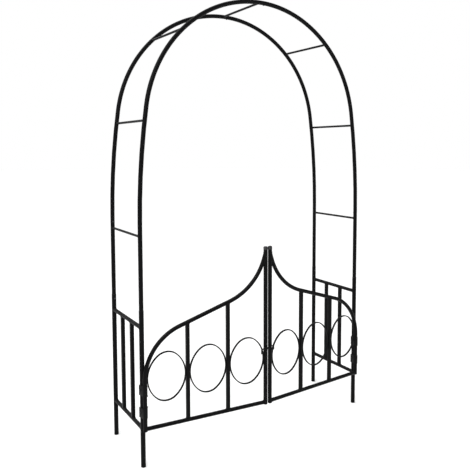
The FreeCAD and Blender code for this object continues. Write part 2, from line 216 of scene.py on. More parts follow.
class ArchFittings(bpy.types.PropertyGroup):
    """Sizes of hinges, screws and latch."""
    strap: length("Strap thickness", "Thickness of the hinge straps", 2 * MM)
    strap_edge: length("Strap edge", "Rounding of the straps' edges", 0.5 * MM)
    play: length("Hinge play", "Between strap and hinge stile", 0.1 * MM)
    flats: length("Across flats", "Width of bolt heads and nuts", 8 * MM)
    head: length("Head height", "Height of the bolt heads", 3.5 * MM)
    nut: length("Nut height", "Height of the nuts", 4 * MM)
    bolt: length("Bolt radius", "Radius of the hinge bolts", 2.5 * MM)
    thread_end: length("Thread end", "Thread that shows past the nut", 1.5 * MM)
    washer: length("Washer", "Thickness of the washers", 0.6 * MM)
    button: length("Button head", "Radius of the joint screws' heads", 4.4 * MM)
    button_height: length("Button height", "Height of the joint screws' heads", 2.4 * MM)
    socket: length("Socket", "Hexagon socket, across flats", 2.5 * MM)
    rod: length("Latch rod", "Radius of the latch bolt", 4 * MM)
    keeper: length("Keeper wall", "Thickness of the staple that takes the latch bolt", 3 * MM)
    rod_bend: length("Latch bend", "Bend between the latch bolt and its handle", 4.2 * MM)
    groove: length("Groove depth", "Depth of the groove for the stop screw", 1.6 * MM)
    stop: length("Stop screw", "Radius of the latch's stop screw", 1.5 * MM)
    peg: length("Peg radius", "Radius of the pegs by the hinges", 3 * MM)


class ArchWelds(bpy.types.PropertyGroup):
    """Look of the welds."""
    rung_bead: length("Rung bead", "Radius of the weld round a rung", 1.5 * MM)
    tube_bead: length("Tube bead", "Radius of the weld round a tube", 2.1 * MM)
    ring_bead: length("Oval bead", "Radius of the weld between an oval and a bar", 1.8 * MM)
    ring_weld: length("Oval weld", "Half the length of the weld on an oval", 8 * MM)
    latch_bead: length("Latch bead", "Radius of the welds on the latch", 1.3 * MM)
    peg_bead: length("Peg bead", "Radius of the weld round a peg", 1.0 * MM)
    ripple: length("Ripple", "Distance from one ripple of the weld to the next", 1.7 * MM)
    depth: share("Ripple depth", "Depth of a ripple, as a share of the bead", 0.20)
    uneven: share("Unevenness", "How much a hand-laid bead swells and thins", 0.45)
    seed: bpy.props.IntProperty(name="Seed", description="Changes the welds' unevenness",
                                default=11)


class ArchFinishes(bpy.types.PropertyGroup):
    """Colours of the finishes."""
    coat: colour("Powder coat", "Black coat on the tubes", (0.0024, 0.0024, 0.0027))
    # Lighter than the tube coat: a painted sheen that stands in for the brighter reflections on
    # the thin rungs.
    rung_painted_sheen: colour("Rung coat", "Black coat on the thin rungs", (0.0034, 0.0034, 0.0038))
    fitting: colour("Fitting coat", "Black coat on straps and latch", (0.0036, 0.0036, 0.004))
    steel: colour("Bare steel", "Steel where the coat has worn through", (0.20, 0.19, 0.18))
    zinc: colour("Blackened zinc", "Bolts, nuts and screws", (0.050, 0.051, 0.056))
    plastic: colour("Cap plastic", "Moulded plastic caps", (0.010, 0.010, 0.0108))
    dust: colour("Dust", "Dust that lies on upward faces", (0.16, 0.155, 0.145))


class ArchStage(bpy.types.PropertyGroup):
    """Floor, lights and camera."""
    floor: colour("Floor", "Colour of the floor", (0.90, 0.90, 0.90))
    floor_radius: length("Floor radius", "How far the floor reaches", 40)
    sky: amount("Backdrop light", "Light from the plain backdrop", 0.22)
    key: amount("Key light", "Power of the large soft light, in kilowatts", 0.16)
    fill: amount("Fill light", "Power of the second soft light, in kilowatts", 0.05)
    ceiling: amount("Ceiling light", "Strength of the even light from above", 3.4)
    spread: angle("Ceiling spread", "How wide the even light from above is", 100)
    lens: bpy.props.FloatProperty(name="Lens", description="Focal length in millimetres",
                                  default=44.20, min=1, unit="CAMERA")
    drop: bpy.props.FloatProperty(name="Shift", description="Upward shift of the lens",
                                  default=-0.0915)
    heading: angle("Heading", "Camera's turn from straight along the walkway", 31.39)
    tilt: angle("Tilt", "Camera's tilt above the horizontal", -4.27)
    roll: angle("Roll", "Camera's roll", -0.16)
    stand: bpy.props.FloatVectorProperty(
        name="Stand", description="Camera from the middle of the arch, in half spans",
        default=(-2.5037, -4.0088, 2.2622), size=3)


GROUPS = {"arch_tubes": ArchTubes, "arch_leaves": ArchLeaves, "arch_fittings": ArchFittings,
          "arch_welds": ArchWelds, "arch_finishes": ArchFinishes, "arch_stage": ArchStage}


# Node trees ----------------------------------------------------------------------

class Wire:
    """A value in a node tree. Arithmetic on it adds Math nodes."""

    def __init__(self, owner, socket):
        self.owner, self.socket = owner, socket

    def __add__(self, other):
        return self.owner.math("ADD", self, other)

    def __sub__(self, other):
        return self.owner.math("SUBTRACT", self, other)

    def __rsub__(self, other):
        return self.owner.math("SUBTRACT", other, self)

    def __mul__(self, other):
        return self.owner.math("MULTIPLY", self, other)

    def __truediv__(self, other):
        return self.owner.math("DIVIDE", self, other)

    __radd__ = __add__
    __rmul__ = __mul__


def pick(sockets, key):
    """A socket by its number, its identifier or its name."""
    if isinstance(key, int):
        return sockets[key]
    exact = [s for s in sockets if s.identifier == key]
    return exact[0] if exact else sockets[key]


class Tree:
    """Adds nodes to a node tree."""

    def __init__(self, tree):
        self.tree = tree

    def node(self, kind, settings=None, sockets=None, out=0):
        """One node: its settings first, then its sockets' values or links. Gives an output."""
        new = self.tree.nodes.new(kind)
        new.location = (190 * len(self.tree.nodes), 0)
        for name, value in (settings or {}).items():
            if name == "stops":
                ramp = new.color_ramp.elements
                for i, (place, level) in enumerate(value):
                    stop = ramp[i] if i < len(ramp) else ramp.new(place)
                    stop.position, stop.color = place, (level, level, level, 1)
            else:
                setattr(new, name, value)
        for key, value in (sockets or {}).items():
            socket = pick(new.inputs, key)
            if isinstance(value, Wire):
                self.tree.links.new(value.socket, socket)
            else:
                socket.default_value = value
        return Wire(self, pick(new.outputs, out)) if len(new.outputs) else new

    def math(self, operation, *values):
        return self.node("ShaderNodeMath", {"operation": operation}, dict(enumerate(values)))

    def noise(self, place, scale, detail=2.0, rough=0.5):
        return self.node("ShaderNodeTexNoise", None, {
            "Vector": place, "Scale": scale, "Detail": detail, "Roughness": rough})

    def between(self, value, low, high):
        """0 below low, 1 above high, smooth between."""
        return self.node("ShaderNodeMapRange", {"interpolation_type": "SMOOTHSTEP"},
                         {"Value": value, "From Min": low, "From Max": high})


# Finishes -------------------------------------------------------------------------

class Finish(Tree):
    """A material's tree, with what the black finishes have in common."""

    def __init__(self, name):
        self.material = bpy.data.materials.new(name)
        self.material.use_nodes = True
        super().__init__(self.material.node_tree)
        self.tree.nodes.clear()
        self.place = self.node("ShaderNodeTexCoord", out="Object")

    def stretched(self, scale, turn=0.0):
        """Object coordinates turned about Z, then scaled."""
        turned = self.node("ShaderNodeMapping", None,
                           {"Vector": self.place, "Rotation": (0, 0, turn)})
        return self.node("ShaderNodeMapping", None, {"Vector": turned, "Scale": scale})

    def attribute(self, name, out="Fac"):
        return self.node("ShaderNodeAttribute", {"attribute_name": name}, out=out)

    def tint(self, factor, a, b):
        """Colour a where factor is 0 and b where it is 1."""
        as_colour = {key: value if isinstance(value, Wire) else (*value, 1)
                     for key, value in (("A_Color", a), ("B_Color", b))}
        return self.node("ShaderNodeMix", {"data_type": "RGBA"},
                         {"Factor_Float": factor, **as_colour}, out="Result_Color")

    def facing_up(self):
        normal = self.node("ShaderNodeNewGeometry", out="Normal")
        up = self.node("ShaderNodeSeparateXYZ", None, {"Vector": normal}, out="Z")
        return self.between(up, 0.25, 0.95)

    def bump(self, height, distance, strength=1.0):
        return self.node("ShaderNodeBump", None, {
            "Height": height, "Distance": distance, "Strength": strength})

    def surface(self, **sockets):
        """The surface shader and the output. Underscores stand for spaces in socket names."""
        shader = self.node("ShaderNodeBsdfPrincipled", None,
                           {key.replace("_", " "): value for key, value in sockets.items()})
        self.node("ShaderNodeOutputMaterial", None, {"Surface": shader})
        return self.material


def powder_coat(name, base, sizes, roughness, peel=1.0, rubbed=0.0):
    """Black powder coat: orange peel, fine grain, faint dust, chips where 'wear' says so."""
    f = Finish(name)
    dust_colour, steel = tuple(sizes.dust), tuple(sizes.steel)
    cloudy = f.noise(f.place, 9, 3)
    hand = f.noise(f.place, 55, 4, 0.6)
    orange_peel = f.noise(f.place, 430, 1.5)
    grain = f.noise(f.place, 2100, 2, 0.7)
    streaks = f.noise(f.stretched((260, 260, 6)), 1, 3)
    specks = f.between(f.noise(f.place, 330, 2, 0.65), 0.66, 0.72)

    dusty = f.facing_up() * f.between(hand, 0.38, 0.72)
    chip_edge = f.between(f.noise(f.place, 620, 3, 0.7) + f.attribute("wear") * 0.32, 0.80, 0.86)
    bare = f.math("MINIMUM", chip_edge, f.attribute("wear"))
    rub = f.between(f.noise(f.place, 120, 5, 0.65), 0.55, 0.75) * rubbed

    shade = f.tint(cloudy, tuple(c * 0.72 for c in base), tuple(c * 1.32 for c in base))
    shade = f.tint(dusty * 0.10 + specks * 0.05, shade, dust_colour)
    shade = f.tint(rub * 0.30, shade, tuple(c * 0.25 for c in steel))
    shade = f.tint(bare, shade, steel)
    rough = (cloudy - 0.5) * 0.16 + (hand - 0.5) * 0.14 + (streaks - 0.5) * 0.12 + roughness
    rough = rough + dusty * 0.16 - rub * 0.12 + specks * 0.10
    height = orange_peel * (0.8 * peel) + grain * 0.16 - bare * 0.9 - rub * 0.1
    return f.surface(Base_Color=shade, Roughness=rough, Metallic=bare * 0.85,
                     Specular_IOR_Level=0.06,
                     Normal=f.bump(height, 0.09 * MM, 0.55))


def weld_coat(name, base, sizes):
    """Powder coat over a weld: thicker in the ripples, with grains of spatter under it."""
    f = Finish(name)
    cloudy = f.noise(f.place, 30, 3)
    spatter = f.node("ShaderNodeTexVoronoi", {"feature": "F1"},
                     {"Vector": f.place, "Scale": 900.0}, out="Distance")
    grains = 1 - f.between(spatter, 0.05, 0.38)
    grain = f.noise(f.place, 1700, 3, 0.7)
    dusty = f.facing_up() * f.between(f.noise(f.place, 70, 3), 0.4, 0.7)
    shade = f.tint(cloudy, tuple(c * 0.8 for c in base), tuple(c * 1.5 for c in base))
    shade = f.tint(dusty * 0.10, shade, tuple(sizes.dust))
    return f.surface(Base_Color=shade, Roughness=cloudy * 0.22 + grain * 0.12 + 0.24,
                     Specular_IOR_Level=0.09,
                     Normal=f.bump(grains * 0.7 + grain * 0.4, 0.12 * MM, 0.6))


def rubbed_rod(name, base, sizes):
    """Coated rod that slides: long polished scratches where its guide rubs it."""
    f = Finish(name)
    own = f.attribute("own", "Vector")
    part = f.node("ShaderNodeSeparateXYZ", None, {"Vector": own}, out="X")
    lines = f.node("ShaderNodeMapping", None, {"Vector": own, "Scale": (12, 2600, 2600)})
    scratch = f.between(f.noise(lines, 1, 4, 0.7), 0.52, 0.66)
    patches = f.between(f.noise(f.place, 160, 3), 0.40, 0.62)
    slides = f.between(part, -26 * MM, -22 * MM) * (1 - f.between(part, 4 * MM, 11 * MM))
    worn = scratch * patches * slides
    grain = f.noise(f.place, 900, 3, 0.6)
    shade = f.tint(grain, tuple(c * 0.8 for c in base), tuple(c * 1.4 for c in base))
    shade = f.tint(worn * 0.75, shade, tuple(c * 0.6 for c in sizes.steel))
    return f.surface(Base_Color=shade, Roughness=grain * 0.16 - worn * 0.1 + 0.30,
                     Metallic=worn * 0.8, Specular_IOR_Level=0.12,
                     Normal=f.bump(grain * 0.6 - scratch * slides * 0.5, 0.05 * MM, 0.6))


def blackened_zinc(name, base):
    """Plated fasteners: turning marks round each one's own axis, darker in mottled patches."""
    f = Finish(name)
    own = f.attribute("own", "Vector")
    flat = f.node("ShaderNodeVectorMath", {"operation": "MULTIPLY"}, {0: own, 1: (1, 1, 0)})
    out_from_axis = f.node("ShaderNodeVectorMath", {"operation": "LENGTH"}, {0: flat},
                           out="Value")
    turning = f.math("SINE", out_from_axis * 21000)
    mottle = f.noise(f.place, 700, 4, 0.6)
    plating = f.noise(f.place, 140, 2)
    shade = f.tint(plating, tuple(c * 0.55 for c in base), tuple(c * 1.5 for c in base))
    shade = f.tint(f.between(mottle, 0.58, 0.70) * 0.5, shade, (0.012, 0.011, 0.011))
    return f.surface(Base_Color=shade, Metallic=0.92,
                     Roughness=mottle * 0.28 + plating * 0.12 + 0.18,
                     Normal=f.bump(turning * 0.12 + mottle * 0.5, 0.03 * MM, 0.6))


def moulded_plastic(name, base):
    """Injection-moulded caps: spark-eroded grain, paler with dust on upward faces."""
    f = Finish(name)
    grain = f.noise(f.place, 1500, 3, 0.7)
    cells = f.node("ShaderNodeTexVoronoi", {"feature": "SMOOTH_F1"},
                   {"Vector": f.place, "Scale": 2200.0}, out="Distance")
    cloudy = f.noise(f.place, 60, 3)
    dusty = f.facing_up() * f.between(f.noise(f.place, 260, 4, 0.6), 0.42, 0.66)
    shade = f.tint(cloudy, tuple(c * 0.8 for c in base), tuple(c * 1.35 for c in base))
    shade = f.tint(dusty * 0.14, shade, (0.14, 0.135, 0.125))
    return f.surface(Base_Color=shade, Roughness=cloudy * 0.10 + dusty * 0.12 + 0.46,
                     Specular_IOR_Level=0.40,
                     Normal=f.bump(grain * 0.5 + cells * 0.5, 0.05 * MM, 0.7))


def floor_finish(name, base):
    """Pale studio floor: matt, with a faint cloudiness and a fine tooth."""
    f = Finish(name)
    cloudy = f.noise(f.place, 0.8, 3)
    tooth = f.noise(f.place, 900, 2)
    shade = f.tint(cloudy, tuple(c * 0.985 for c in base), base)
    return f.surface(Base_Color=shade, Roughness=cloudy * 0.1 + 0.8, Specular_IOR_Level=0.1,
                     Normal=f.bump(tooth, 0.05 * MM, 0.2))


def finish(name):
    """The finish of that name, made the first time that it is asked for."""
    found = bpy.data.materials.get(name)
    if found:
        return found
    sizes = bpy.context.scene.arch_finishes
    coat, rung, fitting = tuple(sizes.coat), tuple(sizes.rung_painted_sheen), tuple(sizes.fitting)
    makers = {
        "tube_coat": lambda: powder_coat(name, coat, sizes, 0.40),
        "gate_coat": lambda: powder_coat(name, coat, sizes, 0.37, peel=0.85),
        # The rungs' lighter base colour is a painted sheen, not a different coat.
        "rung_coat": lambda: powder_coat(name, rung, sizes, 0.34, peel=0.6),
        "fitting_coat": lambda: powder_coat(name, fitting, sizes, 0.42, 0.7, rubbed=1.0),
        "weld_coat": lambda: weld_coat(name, coat, sizes),
        "latch_rod": lambda: rubbed_rod(name, fitting, sizes),
        "blackened_zinc": lambda: blackened_zinc(name, tuple(sizes.zinc)),
        "cap_plastic": lambda: moulded_plastic(name, tuple(sizes.plastic)),
        "studio_floor": lambda: floor_finish(
            name, tuple(bpy.context.scene.arch_stage.floor)),
    }
    return makers[name]()


# Centre lines ------------------------------------------------------------------------

def arc_points(centre, start, other, turn, step):
    """Points of an arc. start and other are the radius vectors at 0 and 90 degrees."""
    pieces = max(2, math.ceil(abs(turn) / step))
    return [centre + start * math.cos(turn * i / pieces) + other * math.sin(turn * i / pieces)
            for i in range(pieces + 1)]


def joined(*runs):
    """Runs of points put one after the other, without the doubled end points."""
    points = []
    for run in runs:
        for p in run:
            if not points or (p - points[-1]).length > 1e-6:
                points.append(p)
    return points


def walk(points):
    """Distance along the line at each point."""
    steps = [0.0] + [(b - a).length for a, b in zip(points, points[1:])]
    return list(np.cumsum(steps))


def at_distance(points, marks, d):
    """Point at distance d along the line; straight on past its ends."""
    i = min(max(int(np.searchsorted(marks, d)) - 1, 0), len(points) - 2)
    share_of_run = (d - marks[i]) / (marks[i + 1] - marks[i])
    return points[i].lerp(points[i + 1], share_of_run) if 0 <= share_of_run <= 1 else (
        points[i] + (points[i + 1] - points[i]) * share_of_run)


def rounded_corner(before, corner, after, radius, pieces=6):
    """Points of a fillet at a corner."""
    a, b = (before - corner).normalized(), (after - corner).normalized()
    half = a.angle(b) / 2
    reach = radius / math.tan(half)
    centre = corner + (a + b).normalized() * (radius / math.sin(half))
    start, end = corner + a * reach - centre, corner + b * reach - centre
    turn = start.angle(end)
    other = (end - start * math.cos(turn)) / math.sin(turn)
    return arc_points(centre, start, other, turn, turn / pieces)


class Line:
    """Points in order, with a value of each layer at every point."""

    def __init__(self, points, closed=False, **layers):
        self.points, self.closed, self.layers = points, closed, layers


def tube_line(points, radius, wall, wear=0.0):
    """Line for a tube whose two ends have rounded lips. Layers: outer, inner, wear."""
    marks = walk(points)
    total = marks[-1]
    lip = wall / 2
    steps = (0, 0.15 * lip, 0.5 * lip, lip, 3 * wall, 9 * wall)
    near = [d for d in steps if d < total / 2]
    inside = [d for d in marks if near[-1] * 1.2 < d < total - near[-1] * 1.2]
    stations = near + inside + [total - d for d in reversed(near)]
    outer, inner, worn = [], [], []
    for d in stations:
        end = min(d, total - d)
        swell = math.sqrt(max(0.0, lip**2 - (lip - min(end, lip))**2))
        outer.append(radius - lip + swell)
        inner.append(radius - lip - swell)
        worn.append(wear * max(0.0, 1 - end / (6 * wall)))
    return Line([at_distance(points, marks, d) for d in stations],
                outer=outer, inner=inner, wear=worn)


def rod_line(points, radius, edge):
    """Line for a solid round bar with rounded ends. Layer: outer."""
    marks = walk(points)
    total = marks[-1]
    near = [edge * (1 - math.cos(math.radians(a))) for a in (0, 30, 60, 90)] + [edge * 3]
    inside = [d for d in marks if near[-1] * 1.2 < d < total - near[-1] * 1.2]
    stations = near + inside + [total - d for d in reversed(near)]
    outer = []
    for d in stations:
        end = min(min(d, total - d), edge)
        outer.append(radius - edge + math.sqrt(max(0.0, edge**2 - (edge - end)**2)))
    points = [at_distance(points, marks, d) for d in stations]
    return Line([points[0], *points, points[-1]], outer=[0.0, *outer, 0.0])


def line_object(name, lines):
    """All the lines as one mesh of edges that a tree can follow."""
    vertices, edges, layers = [], [], {}
    for line in lines:
        first = len(vertices)
        vertices += [tuple(p) for p in line.points]
        last = len(vertices)
        edges += [(i, i + 1) for i in range(first, last - 1)]
        if line.closed:
            edges.append((last - 1, first))
        for key, values in line.layers.items():
            if not isinstance(values, list):
                values = [values] * len(line.points)
            layers.setdefault(key, []).extend(values)
    mesh = bpy.data.meshes.new(name)
    mesh.from_pydata(vertices, edges, [])
    for key, values in layers.items():
        vector = isinstance(values[0], Vector)
        layer = mesh.attributes.new(key, "FLOAT_VECTOR" if vector else "FLOAT", "POINT")
        flat = [c for v in values for c in v] if vector else values
        layer.data.foreach_set("vector" if vector else "value", np.array(flat, np.float32))
    made = bpy.data.objects.new(name, mesh)
    bpy.context.scene.collection.objects.link(made)
    return made


# Geometry trees -------------------------------------------------------------------------

class ShapeTree(Tree):
    """A geometry tree with named inputs that ends in Realize Instances and Set Material."""

    def __init__(self, name, inputs):
        super().__init__(bpy.data.node_groups.new(name, "GeometryNodeTree"))
        self.tree.is_modifier = True
        face = self.tree.interface
        face.new_socket("Geometry", in_out="INPUT", socket_type="NodeSocketGeometry")
        for label, kind, default in inputs + [("Material", "Material", None)]:
            made = face.new_socket(label, in_out="INPUT", socket_type="NodeSocket" + kind)
            if default is not None:
                made.default_value = default
        face.new_socket("Geometry", in_out="OUTPUT", socket_type="NodeSocketGeometry")
        self.group = self.tree.nodes.new("NodeGroupInput")

    def given(self, label):
        return Wire(self, self.group.outputs[label])

    def layer(self, name, kind="FLOAT"):
        return self.node("GeometryNodeInputNamedAttribute", {"data_type": kind},
                         {"Name": name})

    def lines(self):
        return self.node("GeometryNodeMeshToCurve", None, {"Mesh": self.given("Geometry")})

    def circle(self, sides):
        return self.node("GeometryNodeCurvePrimitiveCircle", {"mode": "RADIUS"},
                         {"Resolution": sides, "Radius": 1.0})

    def sweep(self, curve, profile, scale, caps=False):
        return self.node("GeometryNodeCurveToMesh", None, {
            "Curve": curve, "Profile Curve": profile, "Scale": scale, "Fill Caps": caps})

    def end(self, shape):
        smooth = self.node("GeometryNodeSetShadeSmooth", None,
                           {"Geometry": shape, "Shade Smooth": True})
        real = self.node("GeometryNodeRealizeInstances", None, {"Geometry": smooth})
        painted = self.node("GeometryNodeSetMaterial", None, {
            "Geometry": real, "Material": self.given("Material")})
        last = self.tree.nodes.new("NodeGroupOutput")
        self.tree.links.new(painted.socket, last.inputs["Geometry"])
        return self.tree


def merged(t, parts, distance=2e-7):
    """Several meshes joined, their matching points merged."""
    together = t.tree.nodes.new("GeometryNodeJoinGeometry")
    for part in parts:
        t.tree.links.new(part.socket, together.inputs[0])
    return t.node("GeometryNodeMergeByDistance", None, {
        "Geometry": Wire(t, together.outputs[0]), "Distance": distance})


def drawn_tube_tree():
    """Tube that follows each line, hollow, its outer and inner faces meeting at the lips."""
    t = ShapeTree("drawn_tube", [("Sides", "Int", 32)])
    lines, circle = t.lines(), t.circle(t.given("Sides"))
    outside = t.sweep(lines, circle, t.layer("outer"))
    inside = t.sweep(lines, circle, t.layer("inner"))
    turned = t.node("GeometryNodeFlipFaces", None, {"Mesh": inside})
    return t.end(merged(t, [outside, turned]))


def round_bar_tree():
    """Solid round bar that follows each line, closed where its radius comes down to nothing."""
    t = ShapeTree("round_bar", [("Sides", "Int", 20)])
    bar = t.sweep(t.lines(), t.circle(t.given("Sides")), t.layer("outer"))
    return t.end(merged(t, [bar]))


def flat_bar_tree():
    """Flat bar that follows each line, its width laid along the 'across' layer."""
    t = ShapeTree("flat_bar", [("Width", "Float", 0.015), ("Thickness", "Float", 0.003),
                               ("Edge", "Float", 0.0007), ("Edge steps", "Int", 3)])
    section = t.node("GeometryNodeCurvePrimitiveQuadrilateral", {"mode": "RECTANGLE"}, {
        "Width": t.given("Width"), "Height": t.given("Thickness")})
    section = t.node("GeometryNodeFilletCurve", {"mode": "POLY"}, {
        "Curve": section, "Radius": t.given("Edge"), "Count": t.given("Edge steps")})
    aimed = t.node("GeometryNodeSetCurveNormal", {"mode": "FREE"}, {
        "Curve": t.lines(), "Normal": t.layer("across", "FLOAT_VECTOR")})
    return t.end(t.sweep(aimed, section, 1.0, caps=True))


def weld_bead_tree():
    """Hand-laid weld along each line: rippled, and swelling a little as it goes."""
    t = ShapeTree("weld_bead", [("Ripple", "Float", 0.0017), ("Ripple depth", "Float", 0.2),
                                ("Unevenness", "Float", 0.4), ("Seed", "Int", 11),
                                ("Sides", "Int", 8)])
    ripple = t.given("Ripple")
    beads = t.node("GeometryNodeResampleCurve", {"mode": "LENGTH"}, {
        "Curve": t.lines(), "Length": ripple * 0.25})
    along = t.node("GeometryNodeSplineParameter", out="Length")
    wave = t.math("ABSOLUTE", t.math("SINE", along * math.pi / ripple))
    place = t.node("GeometryNodeInputPosition")
    drift = t.node("ShaderNodeTexNoise", {"noise_dimensions": "4D"}, {
        "Vector": place, "W": t.given("Seed") * 3.7, "Scale": 160.0, "Detail": 2.0})
    size = (wave * t.given("Ripple depth") + (drift - 0.5) * t.given("Unevenness")
            + (1 - t.given("Ripple depth") * 0.7))
    bead = t.sweep(beads, t.circle(t.given("Sides")), t.layer("bead") * size)
    return t.end(merged(t, [bead]))


def fastener_tree():
    """One fastener on each point, pointing along 'facing', each turned by its own angle."""
    t = ShapeTree("fasteners", [("Fastener", "Object", None), ("Turn", "Float", 1.0),
                                ("Seed", "Int", 5)])
    shape = t.node("GeometryNodeObjectInfo", {"transform_space": "ORIGINAL"},
                   {"Object": t.given("Fastener")}, out="Geometry")
    aim = t.node("FunctionNodeAlignRotationToVector", {"axis": "Z"},
                 {"Vector": t.layer("facing", "FLOAT_VECTOR")})
    chance = t.node("FunctionNodeRandomValue", {"data_type": "FLOAT"},
                    {"Max_001": 6.283, "Seed": t.given("Seed")}, out="Value_001")
    spin = t.node("FunctionNodeAxisAngleToRotation", None, {
        "Axis": (0, 0, 1), "Angle": chance * t.given("Turn")})
    turned = t.node("FunctionNodeRotateRotation", {"rotation_space": "LOCAL"},
                    {"Rotation": aim, "Rotate By": spin})
    copies = t.node("GeometryNodeInstanceOnPoints", None, {
        "Points": t.given("Geometry"), "Instance": shape, "Rotation": turned})
    real = t.node("GeometryNodeRealizeInstances", None, {"Geometry": copies})
    painted = t.node("GeometryNodeSetMaterial", None, {
        "Geometry": real, "Material": t.given("Material")})
    last = t.tree.nodes.new("NodeGroupOutput")
    t.tree.links.new(painted.socket, last.inputs["Geometry"])
    return t.tree


TREES = {"drawn_tube": drawn_tube_tree, "round_bar": round_bar_tree,
         "flat_bar": flat_bar_tree, "weld_bead": weld_bead_tree,
         "fasteners": fastener_tree}


def grown(name, lines, tree_name, material, **inputs):
    """Lines turned into a finished mesh by a tree. Underscores stand for spaces in inputs."""
    tree = bpy.data.node_groups.get(tree_name) or TREES[tree_name]()
    made = line_object(name, lines)
    modifier = made.modifiers.new(tree_name, "NODES")
    modifier.node_group = tree
    sockets = {s.name: s.identifier for s in tree.interface.items_tree
               if s.in_out == "INPUT"}
    modifier[sockets["Material"]] = finish(material)
    for label, value in inputs.items():
        modifier[sockets[label.replace("_", " ").capitalize()]] = value
    bpy.context.view_layer.update()
    seen = made.evaluated_get(bpy.context.evaluated_depsgraph_get())
    mesh = bpy.data.meshes.new_from_object(seen)
    made.modifiers.clear()
    made.data = mesh
    if not len(mesh.polygons):
        raise RuntimeError("%s came out empty" % name)
    for spare in [a.name for a in mesh.attributes if a.name in
                  ("outer", "inner", "bead", "across", "facing")]:
        mesh.attributes.remove(mesh.attributes[spare])
    return made


def put_on(piece, body, slot, *replaced):
    """Gives a finished piece its body and hides the nodes that it stands for; the slot is not
    used.
    """
    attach(piece, body)
    if replaced:
        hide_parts(*replaced)
    return piece


# Meshes made point by point -----------------------------------------------------------

def mesh_object(name, vertices, faces, material, own=None):
    """An object from points and faces, smooth, with each point's own coordinates if given."""
    mesh = bpy.data.meshes.new(name)
    mesh.from_pydata([tuple(v) for v in vertices], [], faces)
    mesh.materials.append(finish(material))
    mesh.shade_smooth()
    if own is not None:
        layer = mesh.attributes.new("own", "FLOAT_VECTOR", "POINT")
        layer.data.foreach_set("vector", np.array([tuple(v) for v in own],
                                                  np.float32).ravel())
    made = bpy.data.objects.new(name, mesh)
    bpy.context.scene.collection.objects.link(made)
    return made


def ring_faces(rings, sides, first=0):
    """Quads between rings of points that follow each other, anticlockwise from above."""
    return [(first + r * sides + i, first + r * sides + (i + 1) % sides,
             first + (r + 1) * sides + (i + 1) % sides, first + (r + 1) * sides + i)
            for r in range(rings - 1) for i in range(sides)]


def turned_shape(profile, sides, reach=None):
    """Points and faces of a shape turned about Z, closed at both ends.

    profile is (radius, height) from the bottom up. reach, if given, changes a radius
    and a height for each direction, as on a hexagon head."""
    points = []
    for radius, height in profile:
        for i in range(sides):
            a = 2 * math.pi * i / sides
            r, h = reach(radius, height, a) if reach else (radius, height)
            points.append(Vector((r * math.cos(a), r * math.sin(a), h)))
    faces = ring_faces(len(profile), sides)
    bottom, top = len(points), len(points) + 1
    points += [Z * profile[0][1], Z * profile[-1][1]]
    last = (len(profile) - 1) * sides
    faces += [(bottom, (i + 1) % sides, i) for i in range(sides)]
    faces += [(top, last + i, last + (i + 1) % sides) for i in range(sides)]
    return points, faces


def hexagon_reach(flats):
    """Turns circles wider than the flats into a hexagon with cut-back corners."""
    def reach(radius, height, a):
        off = (a + math.pi / 6) % (math.pi / 3) - math.pi / 6
        return min(radius, flats / 2 / math.cos(off)), height
    return reach


def hex_profile(flats, low, high, cut_low):
    """Profile of a hexagon from low to high, its corners cut back at 30 degrees."""
    corner = flats / math.sqrt(3)
    edge = flats / 2 * 0.95
    fall = (corner - edge) * math.tan(math.radians(30))
    radii = [edge + (corner - edge) * k / 4 for k in range(5)]
    top = [(r, high - (r - edge) / (corner - edge) * fall) for r in reversed(radii)]
    bottom = [(r, low + (r - edge) / (corner - edge) * fall) for r in radii]
    return (bottom if cut_low else [(corner, low)]) + top


def hexagon_shape(flats, low, high, cut_low, sides=48):
    return turned_shape(hex_profile(flats, low, high, cut_low), sides, hexagon_reach(flats))


def thread_profile(radius, low, high, pitch=0.0008, depth=0.0003):
    """Profile of a short length of thread with a rounded end."""
    turns = int((high - low) / pitch * 2)
    steps = [(radius - (depth if k % 2 else 0), low + k * pitch / 2) for k in range(turns)]
    return steps + [(radius - depth, high - 0.0002), (radius * 0.72, high)]


def gathered(shapes):
    """Several (points, faces) as one."""
    points, faces = [], []
    for more_points, more_faces in shapes:
        faces += [tuple(i + len(points) for i in face) for face in more_faces]
        points += more_points
    return points, faces


def socket_head(radius, height, flats, sides=48):
    """Button head with a hexagon socket, its seat at height 0."""
    rim = height * 0.22
    dome = [(radius * 0.97, 0), (radius, rim * 0.3), (radius, rim)]
    for k in range(1, 7):
        a = math.radians(90 * k / 7)
        dome.append((radius * (0.42 + 0.58 * math.cos(a)), rim + (height - rim) * math.sin(a)))
    mouth = flats / 2 * 1.22
    dome.append((mouth, height))
    floor = height * 0.42
    hole = [(mouth * 0.93, height - flats * 0.05), (flats, height - flats * 0.12),
            (flats, floor), (flats * 0.3, floor - flats * 0.1)]
    corner = hexagon_reach(flats)

    def reach(r, h, a):
        return corner(r, h, a) if (r, h) in hole else (r, h)
    return turned_shape(dome + hole, sides, reach)


def fastener(name, shapes):
    """A pattern for the fastener tree, its own coordinates kept on it."""
    points, faces = gathered(shapes)
    made = mesh_object(name, points, faces, "blackened_zinc", own=points)
    sharp = made.data.attributes.new("sharp_face", "BOOLEAN", "FACE")
    sharp.data.foreach_set("value", [True] * len(faces))
    return made


def fastened(name, pattern, places, body, *replaced, turn=1.0, seed=5):
    """Copies of a pattern at (place, facing) points, as one piece."""
    lines = [Line([p], facing=[d.normalized()]) for p, d in places]
    piece = grown(name, lines, "fasteners", "blackened_zinc",
                  fastener=pattern, turn=turn, seed=seed)
    bpy.data.objects.remove(pattern)
    return put_on(piece, body, "zinc_fasteners", *replaced)


# Hoops, rungs and side panels ---------------------------------------------------------

